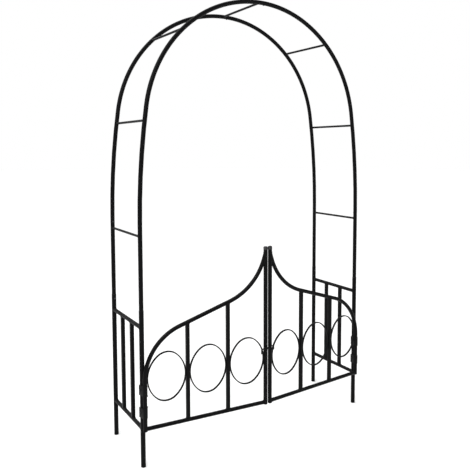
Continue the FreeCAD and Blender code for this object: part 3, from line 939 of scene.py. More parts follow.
class HoopShape:
    """The three-centred round top that both hoops follow."""

    def __init__(self, lean):
        self.crown = half_span - lean
        self.crown_z = crown_z - self.crown
        rise = self.crown_z - hoop_start
        self.flank = (half_span**2 + rise**2 - self.crown**2) / (2 * lean)
        self.turn = math.asin(rise / (self.flank - self.crown))
        seam_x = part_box("arch_tube_front_left")[1].x
        self.seam = math.acos(seam_x / (self.crown + hoop_radius))

    def crown_point(self, side, y, a):
        return Vector((side * self.crown * math.cos(a), y,
                       self.crown_z + self.crown * math.sin(a)))

    def points(self, side, y, end, step):
        """Centre line of one arch tube, up to angle end on the round top."""
        flank_centre = Vector((side * (half_span - self.flank), y, hoop_start))
        lower = arc_points(flank_centre, X * side * self.flank, Z * self.flank,
                           self.turn, step)
        start = Vector((side * math.cos(self.turn), 0, math.sin(self.turn))) * self.crown
        other = Vector((-side * math.sin(self.turn), 0, math.cos(self.turn))) * self.crown
        centre = Vector((0, y, self.crown_z))
        return joined(lower, arc_points(centre, start, other, end - self.turn, step))

    def tangent(self, x, z):
        """Direction of the hoop's tube at a point on it."""
        if z <= hoop_start:
            return Z
        on_flank = z <= self.crown_z + self.crown * math.sin(self.turn)
        side = 1 if x > 0 else -1
        centre = (side * (half_span - self.flank), hoop_start) if on_flank else (
            0, self.crown_z)
        return Vector((centre[1] - z, 0, x - centre[0])).normalized()


RUNGS = ["rung_apex"] + ["rung_%s_%s" % (level, name)
                         for level in ("low", "high", "crown") for name in SIDES]


class GARDENARCH_OT_hoops(bpy.types.Operator):
    """Makes the two hoops: posts, leg tubes and arch tubes that plug together"""
    bl_idname = "garden_arch.hoops"
    bl_label = "Hoops"

    def execute(self, context):
        sizes = context.scene.arch_tubes
        shape = HoopShape(sizes.lean)
        lines, nodes = [], []
        for (end, name), leg in legs.items():
            seam = math.pi - shape.seam if name == "left" else shape.seam
            arch = shape.points(leg.side, leg.y, seam, sizes.arc_step)
            lines.append(tube_line([leg.at(0), leg.at(leg.post_top)],
                                   leg.post_radius, sizes.wall, wear=0.9))
            lines.append(tube_line([leg.at(leg.tube_low), leg.at(leg.tube_top)],
                                   leg.tube_radius, sizes.wall, wear=0.5))
            lines.append(tube_line(arch, leg.tube_radius, sizes.wall, wear=0.5))
            nodes += ["%s_%s_%s" % (piece, end, name)
                      for piece in ("post", "leg_tube", "arch_tube")]
        piece = grown("hoop_tubes", lines, "drawn_tube", "tube_coat", sides=sizes.sides)
        put_on(piece, "arch_frame", "black_frame", *nodes)
        return {"FINISHED"}


class GARDENARCH_OT_rungs(bpy.types.Operator):
    """Makes the thin rungs between the two hoops"""
    bl_idname = "garden_arch.rungs"
    bl_label = "Rungs"

    def execute(self, context):
        sizes = context.scene.arch_tubes
        lines = []
        for node in RUNGS:
            centre, reach = middle(node), room(node).y / 2 + 1 * MM
            lines.append(rod_line([centre - Y * reach, centre + Y * reach],
                                  room(node).z / 2, 0.4 * MM))
        piece = grown("thin_rungs", lines, "round_bar", "rung_coat", sides=sizes.rung_sides)
        put_on(piece, "arch_frame", "black_rungs", *RUNGS)
        return {"FINISHED"}


class GARDENARCH_OT_side_panels(bpy.types.Operator):
    """Makes the rails and square bars of the two side panels"""
    bl_idname = "garden_arch.side_panels"
    bl_label = "Side panels"

    def execute(self, context):
        sizes = context.scene.arch_tubes
        lines, nodes, bars, bar_nodes = [], [], [], []
        for name in SIDES:
            for level in ("bottom", "top"):
                node = "panel_rail_%s_%s" % (level, name)
                centre, reach = middle(node), room(node).y / 2 + 1 * MM
                lines.append(tube_line([centre - Y * reach, centre + Y * reach],
                                       room(node).z / 2, sizes.wall))
                nodes.append(node)
            for end in ENDS:
                node = "panel_bar_%s_%s" % (end, name)
                centre, reach = middle(node), room(node).z / 2 + 1 * MM
                bars.append(Line([centre - Z * reach, centre + Z * reach], across=[Y] * 2))
                bar_nodes.append(node)
        piece = grown("panel_tubes", lines, "drawn_tube", "tube_coat", sides=sizes.sides)
        put_on(piece, "arch_frame", "black_frame", *nodes)
        bar_width = room(bar_nodes[0]).y
        piece = grown("panel_bars", bars, "flat_bar", "tube_coat", width=bar_width,
                      thickness=bar_width, edge=context.scene.arch_leaves.bar_edge)
        put_on(piece, "arch_frame", "black_frame", *bar_nodes)
        return {"FINISHED"}


# Hinges and screws ----------------------------------------------------------------------

class HingeFrame:
    """A leaf's hinge seen from above: origin on its axis, x towards the post's axis."""

    def __init__(self, name):
        self.leaf, self.leg = leaves[name], legs["front", name]
        across = Vector((self.leg.x, self.leg.y, 0)) - self.leaf.hinge
        self.reach = across.length
        self.x = across.normalized()
        self.y = Z.cross(self.x)

    def at(self, x, y, z):
        return self.leaf.hinge + self.x * x + self.y * y + Z * z


def strap_points(hinge, node, sizes, step):
    """Centre line of a strap: round the hinge stile, then along both sides of the post."""
    z = middle(node).z
    loop = hinge.leaf.tube_radius + sizes.play + sizes.strap / 2
    leg = hinge.leg.post_radius + sizes.strap / 2
    tail = max((v.co - hinge.leaf.hinge).dot(hinge.x)
               for v in frame["nodes"][node].data.vertices)
    nx = (loop - leg) / hinge.reach
    ny = math.sqrt(1 - nx * nx)
    corner = hinge.reach + leg * nx / (1 + ny)
    phi = math.atan2(ny, nx)
    start = (hinge.x * nx + hinge.y * ny) * loop
    other = (hinge.y * nx - hinge.x * ny) * loop
    bow = arc_points(hinge.at(0, 0, z), start, other, 2 * math.pi - 2 * phi, step)
    far = [hinge.at(tail, leg, z), hinge.at(corner, leg, z)]
    near = [hinge.at(corner, -leg, z), hinge.at(tail, -leg, z)]
    return joined(far, bow, near)


class GARDENARCH_OT_hinge_straps(bpy.types.Operator):
    """Bends the four hinge straps round the hinge stiles and the front posts"""
    bl_idname = "garden_arch.hinge_straps"
    bl_label = "Hinge straps"

    def execute(self, context):
        sizes = context.scene.arch_fittings
        lines, nodes = [], []
        for name in SIDES:
            hinge = HingeFrame(name)
            for level in ("lower", "upper"):
                node = "hinge_strap_%s_%s" % (level, name)
                points = strap_points(hinge, node, sizes, math.radians(6))
                lines.append(Line(points, across=[Z] * len(points)))
                nodes.append(node)
        piece = grown("hinge_straps", lines, "flat_bar", "fitting_coat",
                      width=room(nodes[0]).z, thickness=sizes.strap,
                      edge=sizes.strap_edge)
        put_on(piece, "arch_frame", "black_fittings", *nodes)
        return {"FINISHED"}


def washer_shape(radius, thickness):
    edge = thickness * 0.25
    return turned_shape([(radius - edge, 0), (radius, edge), (radius, thickness - edge),
                         (radius - edge, thickness)], 48)


class GARDENARCH_OT_hinge_bolts(bpy.types.Operator):
    """Puts a bolt, a nut and their washers through each hinge strap and post"""
    bl_idname = "garden_arch.hinge_bolts"
    bl_label = "Hinge bolts and nuts"

    def execute(self, context):
        sizes = context.scene.arch_fittings
        heads, nuts = [], []
        for name, side in SIDES.items():
            hinge = HingeFrame(name)
            seat = hinge.leg.post_radius + sizes.strap
            for level in ("lower", "upper"):
                z = middle("hinge_strap_%s_%s" % (level, name)).z
                heads.append((hinge.at(hinge.reach, -side * seat, z), hinge.y * -side))
                nuts.append((hinge.at(hinge.reach, side * seat, z), hinge.y * side))
        washer = washer_shape(sizes.flats * 0.62, sizes.washer)
        head = fastener("bolt_pattern", [
            washer, hexagon_shape(sizes.flats, sizes.washer, sizes.head, False)])
        thread = thread_profile(sizes.bolt, sizes.nut - 1 * MM, sizes.nut + sizes.thread_end)
        nut = fastener("nut_pattern", [
            washer, hexagon_shape(sizes.flats, sizes.washer, sizes.nut, True),
            turned_shape(thread, 24)])
        fastened("hinge_bolt_heads", head, heads, "arch_frame", "hinge_bolts", seed=3)
        fastened("hinge_lock_nuts", nut, nuts, "arch_frame", "hinge_nuts", seed=8)
        return {"FINISHED"}


class GARDENARCH_OT_joint_screws(bpy.types.Operator):
    """Puts the button-head screws into the joints of both hoops"""
    bl_idname = "garden_arch.joint_screws"
    bl_label = "Joint screws"

    def execute(self, context):
        sizes = context.scene.arch_fittings
        shape = HoopShape(context.scene.arch_tubes.lean)
        places = []
        for leg in legs.values():
            plug = leg.post_top - leg.tube_low
            places.append((leg.at(leg.post_top - plug / 2) + leg.inward * leg.post_radius,
                           leg.inward))
            places.append((leg.at(leg.tube_top - plug / 2) + leg.inward * leg.tube_radius,
                           leg.inward))
        for end in ENDS:
            leg = legs[end, "right"]
            a = shape.seam + (leg.post_top - leg.tube_low) / 2 / shape.crown
            seat = shape.crown_point(1, leg.y, a)
            down = (Vector((0, leg.y, shape.crown_z)) - seat).normalized()
            places.append((seat + down * leg.tube_radius, down))
        head = fastener("screw_pattern", [
            socket_head(sizes.button, sizes.button_height, sizes.socket)])
        fastened("button_screws", head, places, "arch_frame", "joint_screws", seed=14)
        return {"FINISHED"}


# Gate leaves --------------------------------------------------------------------------------

class LeafShape:
    """Side view of a leaf: where its ogee top runs."""

    def __init__(self, leaf, sizes):
        slope, bend = sizes.slope, sizes.shoulder_bend
        self.leaf, self.sizes, self.slope = leaf, sizes, slope
        self.stile_radius = self.radius("meeting_stile")
        self.peak_s = leaf.width - self.stile_radius
        self.start = (bend * (1 - math.sin(slope)), sizes.shoulder_z + bend * math.cos(slope))
        steep = sizes.peak_angle
        end_s = self.peak_s - sizes.peak_bend * (math.sin(steep) - math.sin(slope))
        self.peak_z = (self.slope_z(end_s)
                       + sizes.peak_bend * (math.cos(slope) - math.cos(steep)))
        self.meeting_z = self.peak_z + self.stile_radius * math.tan(steep)

    def node(self, piece):
        return self.leaf.name + "_leaf_" + piece

    def radius(self, piece):
        low, high = self.leaf.extent(self.node(piece))
        return (high.y - low.y) / 2

    def slope_z(self, s):
        return self.start[1] + (s - self.start[0]) * math.tan(self.slope)

    def bar_s(self, place):
        low, high = self.leaf.extent(self.node("bar_" + place))
        return (low.x + high.x) / 2

    def bays(self):
        """Each oval with the two uprights' faces that it touches."""
        bar = self.radius("bar_outer")
        first, second = self.bar_s("outer"), self.bar_s("inner")
        return {"outer": (self.leaf.tube_radius, first - bar),
                "middle": (first + bar, second - bar),
                "inner": (second + bar, self.leaf.width - self.stile_radius)}

    def top_points(self, step):
        """Centre line of the frame tube, from the foot of the hinge stile to the peak."""
        at, sizes, slope = self.leaf.at, self.sizes, self.slope
        out, bend = self.leaf.along, sizes.shoulder_bend
        shoulder = arc_points(at(bend, 0, sizes.shoulder_z), -out * bend, Z * bend,
                              math.pi / 2 - slope, step)
        rise, steep = sizes.peak_bend, sizes.peak_angle
        start = (out * math.sin(slope) - Z * math.cos(slope)) * rise
        other = (out * math.cos(slope) + Z * math.sin(slope)) * rise
        peak = arc_points(at(self.peak_s - rise * math.sin(steep), 0,
                             self.peak_z + rise * math.cos(steep)), start, other,
                          steep - slope, step)
        return joined([at(0, 0, self.leaf.low)], shoulder, peak,
                      [at(self.leaf.width, 0, self.meeting_z)])


class GARDENARCH_OT_leaf_frames(bpy.types.Operator):
    """Makes the tubes of both gate leaves and the square bars between them"""
    bl_idname = "garden_arch.leaf_frames"
    bl_label = "Leaf tubes"

    def execute(self, context):
        sizes, tubes = context.scene.arch_leaves, context.scene.arch_tubes
        for name, leaf in leaves.items():
            shape = LeafShape(leaf, sizes)
            at = leaf.at
            stile = [at(leaf.width, 0, leaf.low), at(leaf.width, 0, leaf.stile_top)]
            low, high = leaf.extent(shape.node("bottom_rail"))
            rail = [at(low.x - 1 * MM, 0, leaf.rail_z), at(high.x + 1 * MM, 0, leaf.rail_z)]
            lines = [tube_line(shape.top_points(tubes.arc_step), leaf.tube_radius,
                               sizes.wall, wear=0.6),
                     tube_line(stile, shape.stile_radius, sizes.wall, wear=0.6),
                     tube_line(rail, leaf.rail_radius, sizes.wall)]
            piece = grown(name + "_leaf_tubes", lines, "drawn_tube", "gate_coat",
                          sides=tubes.sides)
            put_on(piece, name + "_leaf", "black_gate",
                   *map(shape.node, ("frame_tube", "meeting_stile", "bottom_rail")))
            bars = []
            for place in ("outer", "inner"):
                low, high = leaf.extent(shape.node("bar_" + place))
                s = shape.bar_s(place)
                bars.append(Line([at(s, 0, low.z - 1 * MM), at(s, 0, high.z + 1 * MM)],
                                 across=[leaf.front] * 2))
            bar_width = shape.radius("bar_outer") * 2
            piece = grown(name + "_leaf_bars", bars, "flat_bar", "gate_coat",
                          width=bar_width, thickness=bar_width, edge=sizes.bar_edge)
            put_on(piece, name + "_leaf", "black_gate",
                   *map(shape.node, ("bar_outer", "bar_inner")))
        return {"FINISHED"}


def oval_points(leaf, shape, place, edges, sizes, step):
    """Middle line of an oval's flat bar."""
    low, high = leaf.extent(shape.node("ring_" + place))
    centre_s, centre_z = sum(edges) / 2, (low.z + high.z) / 2
    half_width, half_height = (edges[1] - edges[0]) / 2, (high.z - low.z) / 2
    rise = half_height - sizes.ring_end
    flank = ((half_width**2 + rise**2 - sizes.ring_end**2)
             / (2 * (half_width - sizes.ring_end)))
    turn = math.atan2(rise, flank - half_width)
    off = flank - half_width
    runs = []
    for s, z, radius, first, last in (
            (-off, 0, flank, -turn, turn), (0, rise, sizes.ring_end, turn, math.pi - turn),
            (off, 0, flank, math.pi - turn, math.pi + turn),
            (0, -rise, sizes.ring_end, math.pi + turn, 2 * math.pi - turn)):
        radius -= sizes.band / 2
        start = leaf.along * math.cos(first) + Z * math.sin(first)
        other = Z * math.cos(first) - leaf.along * math.sin(first)
        runs.append(arc_points(leaf.at(centre_s + s, 0, centre_z + z), start * radius,
                               other * radius, last - first, step))
    return joined(*runs)[:-1]


class GARDENARCH_OT_ovals(bpy.types.Operator):
    """Bends the flat-bar ovals between the bars of both leaves"""
    bl_idname = "garden_arch.ovals"
    bl_label = "Ovals"

    def execute(self, context):
        sizes = context.scene.arch_leaves
        for name, leaf in leaves.items():
            shape = LeafShape(leaf, sizes)
            lines = []
            for place, edges in shape.bays().items():
                points = oval_points(leaf, shape, place, edges, sizes, math.radians(3))
                lines.append(Line(points, closed=True, across=[leaf.front] * len(points)))
            low, high = leaf.extent(shape.node("ring_middle"))
            piece = grown(name + "_leaf_ovals", lines, "flat_bar", "gate_coat",
                          width=high.y - low.y, thickness=sizes.band, edge=sizes.band_edge)
            put_on(piece, name + "_leaf", "black_gate",
                   *[shape.node("ring_" + place) for place in shape.bays()])
        return {"FINISHED"}


class GARDENARCH_OT_caps(bpy.types.Operator):
    """Makes the plastic caps on the meeting stiles"""
    bl_idname = "garden_arch.caps"
    bl_label = "Stile caps"

    def execute(self, context):
        edge = context.scene.arch_leaves.cap_edge
        for name, leaf in leaves.items():
            node = name + "_leaf_cap"
            low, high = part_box(node)
            radius = (high.y - low.y) / 2
            body = radius - 0.35 * MM
            bottom, top, shoulder = low.z, high.z, leaf.stile_top
            profile = [(radius - 0.3 * MM, bottom), (radius, bottom + 0.3 * MM),
                       (radius, bottom + 2.0 * MM), (body, bottom + 2.5 * MM),
                       (body, shoulder - edge)]
            profile += [(body - edge * (1 - math.cos(a)), shoulder - edge + edge * math.sin(a))
                        for a in map(math.radians, (30, 60))]
            crown, rise = body - edge, top - shoulder
            profile += [(crown * math.cos(a), shoulder + rise * math.sin(a))
                        for a in map(math.radians, (0, 12, 24, 36, 48, 60, 72))]
            profile += [(1.5 * MM, top - 0.02 * MM), (1.3 * MM, top - 0.35 * MM)]
            points, faces = turned_shape(profile, 48)
            place = leaf.at(leaf.width, 0, 0)
            piece = mesh_object(name + "_stile_cap", [p + place for p in points], faces,
                                "cap_plastic")
            put_on(piece, name + "_leaf", "plastic_caps", node)
        return {"FINISHED"}


class GARDENARCH_OT_pegs(bpy.types.Operator):
    """Makes the pegs that keep each leaf from sliding in its straps"""
    bl_idname = "garden_arch.pegs"
    bl_label = "Rest pegs"

    def execute(self, context):
        radius = context.scene.arch_fittings.peg
        for name, leaf in leaves.items():
            node = name + "_leaf_rest_pegs"
            low, high = leaf.extent(node)
            lines = [rod_line([leaf.at(leaf.tube_radius - 2 * MM, 0, z),
                               leaf.at(high.x, 0, z)], radius, 0.8 * MM)
                     for z in (low.z + radius, high.z - radius)]
            piece = grown(name + "_leaf_pegs", lines, "round_bar", "gate_coat", sides=24)
            put_on(piece, name + "_leaf", "black_gate", node)
        return {"FINISHED"}


# Latch ----------------------------------------------------------------------------------------

def block(leaf, low, high, edge):
    """Points and faces of a block with rounded edges, in a leaf's own directions."""
    made = bmesh.new()
    bmesh.ops.create_cube(made, size=1)
    size, centre = high - low, (low + high) / 2
    for v in made.verts:
        v.co = Vector(centre[i] + v.co[i] * size[i] for i in range(3))
    bmesh.ops.bevel(made, geom=made.edges[:], offset=edge, segments=3, profile=0.5,
                    affect="EDGES")
    points = [leaf.at(*v.co) for v in made.verts]
    mirrored = leaf.along.cross(leaf.front).z < 0
    faces = [tuple(v.index for v in (reversed(f.verts[:]) if mirrored else f.verts))
             for f in made.faces]
    made.free()
    return points, faces


def latch_rod(leaf, sizes):
    """Points, faces and own coordinates of the sliding bolt with its turned-down handle."""
    low, high = leaf.extent("latch_bolt")
    travel = [j for j in frame["joints"] if j["name"] == "latch_slide"][0]["range_m"][1]
    rod, n, z = sizes.rod, high.y - sizes.rod, high.z - sizes.rod
    handle_s, bend, edge = low.x + sizes.rod, sizes.rod_bend, 0.9 * MM
    groove = (leaf.width - travel - sizes.stop * 1.2, leaf.width + sizes.stop * 1.2)
    crisp = 0.02 * MM
    path = [(handle_s, low.z + d, rod - edge + math.sqrt(max(0, edge**2 - (edge - d)**2)))
            for d in (0, 0.1 * edge, 0.3 * edge, 0.6 * edge, edge)]
    path += [(handle_s, low.z + 4 * edge, rod), (handle_s, z - bend - 1 * MM, rod)]
    path += [(handle_s + bend * (1 - math.cos(a)), z - bend + bend * math.sin(a), rod)
             for a in map(math.radians, range(0, 91, 10))]
    stops = [groove[0] - crisp, groove[0] + crisp, (groove[0] + groove[1]) / 2,
             groove[1] - crisp, groove[1] + crisp, high.x - 4 * edge]
    path += [(s, z, rod) for s in stops]
    path += [(high.x - d, z, rod - edge + math.sqrt(max(0, edge**2 - (edge - d)**2)))
             for d in (edge, 0.6 * edge, 0.3 * edge, 0.1 * edge, 0)]
    sides = 40
    points, own = [], []
    for i, (s, height, radius) in enumerate(path):
        before, after = path[max(i - 1, 0)], path[min(i + 1, len(path) - 1)]
        ahead = Vector((after[0] - before[0], after[1] - before[1])).normalized()
        for k in range(sides):
            a = 2 * math.pi * k / sides
            across, out = radius * math.cos(a), radius * math.sin(a)
            if groove[0] < s < groove[1]:
                out = min(out, rod - sizes.groove)
            where = (s - ahead.y * across, n + out, height + ahead.x * across)
            points.append(leaf.at(*where))
            own.append(Vector((where[0] - leaf.width, out, where[2] - z)))
    faces = ring_faces(len(path), sides)
    last = (len(path) - 1) * sides
    faces += [tuple(reversed(range(sides))), tuple(last + k for k in range(sides))]
    return points, faces, own


def faced_out(piece):
    """Turns a closed piece's faces outwards."""
    made = bmesh.new()
    made.from_mesh(piece.data)
    bmesh.ops.recalc_face_normals(made, faces=made.faces)
    made.to_mesh(piece.data)
    made.free()
    return piece


class GARDENARCH_OT_latch(bpy.types.Operator):
    """Makes the sliding bolt, its guide with saddle and stop screw, and the staple"""
    bl_idname = "garden_arch.latch"
    bl_label = "Latch"

    def execute(self, context):
        sizes = context.scene.arch_fittings
        leaf, other = leaves["left"], leaves["right"]
        points, faces, own = latch_rod(leaf, sizes)
        rod = faced_out(mesh_object("latch_rod", points, faces, "latch_rod", own=own))
        put_on(rod, "latch_bolt", "black_fittings", "latch_bolt")

        bolt_high = leaf.extent("latch_bolt")[1]
        n, z = bolt_high.y - sizes.rod, bolt_high.z - sizes.rod
        low, high = leaf.extent("latch_guide")
        radius = high.y - n
        wall = radius - sizes.rod - sizes.play
        sleeve = grown("latch_sleeve", [tube_line(
            [leaf.at(low.x, n, z), leaf.at(high.x, n, z)], radius, wall, wear=0.7)],
            "drawn_tube", "fitting_coat", sides=40)
        put_on(sleeve, "left_leaf", "black_fittings", "latch_guide")

        half = high.z - z - 1 * MM
        stile_radius = LeafShape(leaf, context.scene.arch_leaves).stile_radius
        points, faces = block(leaf, Vector((leaf.width - half, stile_radius * 0.8, z - half)),
                              Vector((leaf.width + half, n - sizes.rod - 0.8 * MM, z + half)),
                              0.8 * MM)
        saddle = faced_out(mesh_object("latch_saddle", points, faces, "fitting_coat"))
        put_on(saddle, "left_leaf", "black_fittings")

        stop_high = leaf.extent("latch_stop_screw")[1]
        head = fastener("stop_pattern", [
            socket_head(sizes.stop * 1.6, sizes.stop, sizes.stop * 1.1)])
        seat = leaf.at(leaf.width, stop_high.y - sizes.stop, z)
        fastened("latch_stop_head", head, [(seat, leaf.front)], "left_leaf",
                 "latch_stop_screw", seed=2)

        low, high = other.extent("latch_staple")
        width = high.x - low.x
        wall = sizes.keeper
        s, near, far = other.width, stile_radius * 0.8, high.y - wall / 2
        under, over = low.z + wall / 2, high.z - wall / 2
        corners = [other.at(s, near, under), other.at(s, far, under),
                   other.at(s, far, over), other.at(s, near, over)]
        bend = 3.2 * MM
        points = joined([corners[0]], rounded_corner(*corners[:3], bend),
                        rounded_corner(*corners[1:], bend), [corners[3]])
        staple = grown("latch_keeper", [Line(points, across=[other.along] * len(points))],
                       "flat_bar", "fitting_coat", width=width, thickness=wall,
                       edge=0.6 * MM)
        put_on(staple, "right_leaf", "black_fittings", "latch_staple")
        return {"FINISHED"}


# Welds ---------------------------------------------------------------------------------------

def saddle_line(point, main, main_radius, branch, branch_radius, bead, square=False):
    """Closed line where a branch bar meets a main tube; branch points away from the tube."""
    e1 = (main - branch * main.dot(branch)).normalized()
    e2 = branch.cross(e1)
    flat_branch = branch - main * branch.dot(main)
    points = []
    for i in range(48):
        a = 2 * math.pi * i / 48
        q = (e1 * math.cos(a) + e2 * math.sin(a)) * branch_radius
        if square:
            q /= max(abs(math.cos(a)), abs(math.sin(a)))
        flat = q - main * q.dot(main)
        aa, bb = flat_branch.length_squared, 2 * flat.dot(flat_branch)
        cc = flat.length_squared - main_radius**2
        t = (-bb + math.sqrt(max(0.0, bb * bb - 4 * aa * cc))) / (2 * aa)
        points.append(point + q + branch * t)
    return Line(points, closed=True, bead=bead)


def seam_line(start, end, bead):
    """Short straight weld that thins out at both ends."""
    run = [0, 0.04, 0.12, 0.5, 0.88, 0.96, 1]
    swell = [0, 0.6, 1, 1, 1, 0.6, 0]
    return Line([start.lerp(end, r) for r in run], bead=[bead * k for k in swell])


def arch_welds(context):
    """Welds of the rungs and the side panels."""
    welds = context.scene.arch_welds
    shape = HoopShape(context.scene.arch_tubes.lean)
    lines = []
    for node in RUNGS:
        centre = middle(node)
        along = shape.tangent(centre.x, centre.z)
        for leg in (legs["front", "left"], legs["back", "left"]):
            point = Vector((centre.x, leg.y, centre.z))
            lines.append(saddle_line(point, along, leg.tube_radius, leg.inward,
                                     room(node).z / 2, welds.rung_bead))
    for name in SIDES:
        for level in ("bottom", "top"):
            rail = "panel_rail_%s_%s" % (level, name)
            rail_radius, z = room(rail).z / 2, middle(rail).z
            for end in ENDS:
                leg = legs[end, name]
                lines.append(saddle_line(leg.at(z), Z, leg.post_radius, leg.inward,
                                         rail_radius, welds.tube_bead))
                bar = "panel_bar_%s_%s" % (end, name)
                centre = middle(bar)
                up = Z if level == "bottom" else -Z
                lines.append(saddle_line(Vector((centre.x, centre.y, z)), Y, rail_radius, up,
                                         room(bar).y / 2, welds.tube_bead, square=True))
    return lines


def leaf_welds(context, name):
    """Welds of one gate leaf."""
    welds, sizes = context.scene.arch_welds, context.scene.arch_leaves
    fittings = context.scene.arch_fittings
    leaf = leaves[name]
    shape = LeafShape(leaf, sizes)
    at, out, bead = leaf.at, leaf.along, welds.tube_bead
    width, stile = leaf.width, shape.stile_radius
    hinge_bead = bead * 0.5  # thin, so that it clears the post when the leaf is wide open
    lines = [saddle_line(at(0, 0, leaf.rail_z), Z, leaf.tube_radius, out, leaf.rail_radius,
                         hinge_bead),
             saddle_line(at(width, 0, leaf.rail_z), Z, stile, -out, leaf.rail_radius, bead)]
    uphill = (out * math.cos(shape.slope) + Z * math.sin(shape.slope)).normalized()
    for place in ("outer", "inner"):
        s, radius = shape.bar_s(place), shape.radius("bar_" + place)
        lines.append(saddle_line(at(s, 0, leaf.rail_z), out, leaf.rail_radius, Z, radius, bead,
                                 square=True))
        lines.append(saddle_line(at(s, 0, shape.slope_z(s)), uphill, leaf.tube_radius, -Z,
                                 radius, bead, square=True))
    downhill = -(out * math.cos(sizes.peak_angle) + Z * math.sin(sizes.peak_angle))
    lines.append(saddle_line(at(width, 0, shape.meeting_z), Z, stile, downhill,
                             leaf.tube_radius, bead))
    for place, edges in shape.bays().items():
        low, high = leaf.extent(shape.node("ring_" + place))
        z, n = (low.z + high.z) / 2, (high.y - low.y) / 2 - 1 * MM
        for s in (edges[0] - 1 * MM, edges[1] + 1 * MM):
            for face in (-n, n):
                lines.append(seam_line(at(s, face, z - welds.ring_weld),
                                       at(s, face, z + welds.ring_weld), welds.ring_bead))
    peg = fittings.peg
    low, high = leaf.extent(shape.node("rest_pegs"))
    for z in (low.z + peg, high.z - peg):
        lines.append(saddle_line(at(0, 0, z), Z, leaf.tube_radius, out, peg, welds.peg_bead))
    if name == "left":
        low, high = leaf.extent("latch_guide")
        z = leaf.extent("latch_bolt")[1].z - fittings.rod
        half = high.z - z - 1 * MM
        n = math.sqrt(stile**2 - half**2)
        for s in (-half, half):
            lines.append(seam_line(at(width + s, n, z - half), at(width + s, n, z + half),
                                   welds.latch_bead))
    else:
        low, high = leaf.extent("latch_staple")
        half = (high.x - low.x) / 2
        for z in (low.z, high.z):
            lines.append(seam_line(at(width - half, stile, z), at(width + half, stile, z),
                                   welds.latch_bead))
    return lines


class GARDENARCH_OT_welds(bpy.types.Operator):
    """Lays the weld beads at every joint of the arch and the leaves"""
    bl_idname = "garden_arch.welds"
    bl_label = "Welds"

    def execute(self, context):
        welds = context.scene.arch_welds
        beads = {"arch_frame": (arch_welds(context), "black_frame")}
        for name in SIDES:
            beads[name + "_leaf"] = (leaf_welds(context, name), "black_gate")
        for i, (body, (lines, slot)) in enumerate(beads.items()):
            piece = grown(body + "_welds", lines, "weld_bead", "weld_coat",
                          ripple=welds.ripple, ripple_depth=welds.depth,
                          unevenness=welds.uneven, seed=welds.seed + i)
            put_on(piece, body, slot)
        return {"FINISHED"}


# Stage -----------------------------------------------------------------------------------------

def soft_light(name, place, target, size, kilowatts):
    light = bpy.data.lights.new(name, "AREA")
    light.shape, light.size, light.size_y = "RECTANGLE", size[0], size[1]
    light.energy = kilowatts * 1000
    made = bpy.data.objects.new(name, light)
    made.location = place
    made.rotation_euler = (target - place).to_track_quat("-Z", "Y").to_euler()
    bpy.context.scene.collection.objects.link(made)
    return made


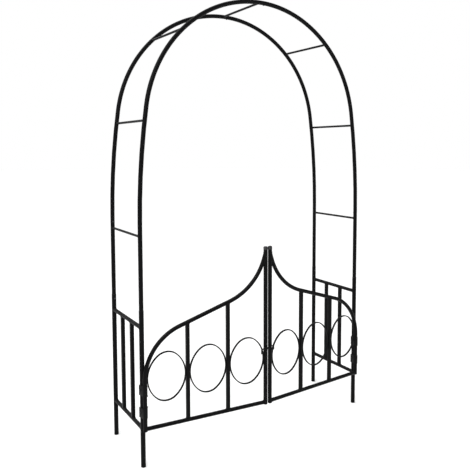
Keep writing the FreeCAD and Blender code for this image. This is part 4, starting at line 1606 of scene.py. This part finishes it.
class GARDENARCH_OT_stage(bpy.types.Operator):
    """Sets up the pale floor, the soft studio lights and the camera"""
    bl_idname = "garden_arch.stage"
    bl_label = "Floor, lights and camera"

    def execute(self, context):
        sizes, scene = context.scene.arch_stage, context.scene
        radius, sides = sizes.floor_radius, 96
        points = [Vector((radius * math.cos(2 * math.pi * i / sides),
                          radius * math.sin(2 * math.pi * i / sides), 0))
                  for i in range(sides)]
        floor = mesh_object("studio_floor", points, [tuple(range(sides))], "studio_floor")

        height = cad_box[1].z
        target = arch_middle + Z * height * 0.5
        soft_light("key_light", arch_middle + Vector((-1.5, -1.3, 1.7)) * height, target,
                   (1.3 * height, 1.3 * height), sizes.key)
        soft_light("fill_light", arch_middle + Vector((1.7, -1.5, 1.1)) * height, target,
                   (1.2 * height, 1.0 * height), sizes.fill)
        ceiling = bpy.data.lights.new("ceiling_light", "SUN")
        ceiling.energy, ceiling.angle = sizes.ceiling, sizes.spread
        above = bpy.data.objects.new("ceiling_light", ceiling)
        above.rotation_euler = (math.radians(-18), math.radians(-20), 0)
        scene.collection.objects.link(above)

        world = bpy.data.worlds.new("plain_backdrop")
        world.use_nodes = True
        t = Tree(world.node_tree)
        world.node_tree.nodes.clear()
        seen = t.node("ShaderNodeLightPath", out="Is Camera Ray")
        glow = t.node("ShaderNodeBackground", None, {
            "Color": (1, 1, 1, 1), "Strength": seen * (1 - sizes.sky) + sizes.sky})
        t.node("ShaderNodeOutputWorld", None, {"Surface": glow})
        scene.world = world
        scene.view_settings.view_transform = "Standard"

        camera = bpy.data.objects.new("camera", bpy.data.cameras.new("camera"))
        camera.data.sensor_width, camera.data.lens = 36, sizes.lens
        camera.data.shift_y = sizes.drop
        camera.data.clip_end = 200
        stand = arch_middle + Vector(sizes.stand) * half_span
        look = (Matrix.Rotation(-sizes.heading, 3, "Z")
                @ Matrix.Rotation(math.pi / 2 + sizes.tilt, 3, "X")
                @ Matrix.Rotation(sizes.roll, 3, "Z"))
        camera.matrix_world = Matrix.Translation(stand) @ look.to_4x4()
        scene.collection.objects.link(camera)
        scene.camera = camera
        return {"FINISHED"}


# Panel, registration and the order of work -----------------------------------------------------

STEPS = (GARDENARCH_OT_hoops, GARDENARCH_OT_rungs, GARDENARCH_OT_side_panels,
         GARDENARCH_OT_leaf_frames, GARDENARCH_OT_ovals, GARDENARCH_OT_caps,
         GARDENARCH_OT_pegs, GARDENARCH_OT_hinge_straps, GARDENARCH_OT_hinge_bolts,
         GARDENARCH_OT_joint_screws, GARDENARCH_OT_latch, GARDENARCH_OT_welds,
         GARDENARCH_OT_stage)


class GARDENARCH_PT_sidebar(bpy.types.Panel):
    """Lists the steps and the sizes in the sidebar"""
    bl_idname = "GARDENARCH_PT_sidebar"
    bl_label = "Garden Arch"
    bl_space_type = "VIEW_3D"
    bl_region_type = "UI"
    bl_category = "Garden Arch"

    def draw(self, context):
        for step in STEPS:
            self.layout.operator(step.bl_idname)
        for name, group in GROUPS.items():
            box = self.layout.box()
            box.label(text=group.__doc__)
            for key in group.__annotations__:
                box.prop(getattr(context.scene, name), key)


def register():
    for group in GROUPS.values():
        bpy.utils.register_class(group)
    for cls in STEPS + (GARDENARCH_PT_sidebar,):
        bpy.utils.register_class(cls)
    for name, group in GROUPS.items():
        setattr(bpy.types.Scene, name, bpy.props.PointerProperty(type=group))


def unregister():
    for name in GROUPS:
        delattr(bpy.types.Scene, name)
    for cls in (GARDENARCH_PT_sidebar,) + STEPS[::-1]:
        bpy.utils.unregister_class(cls)
    for group in GROUPS.values():
        bpy.utils.unregister_class(group)


def main():
    register()
    for step in STEPS:
        family, name = step.bl_idname.split(".")
        getattr(getattr(bpy.ops, family), name)()
    bpy.context.view_layer.update()


if __name__ == "__main__":
    main()
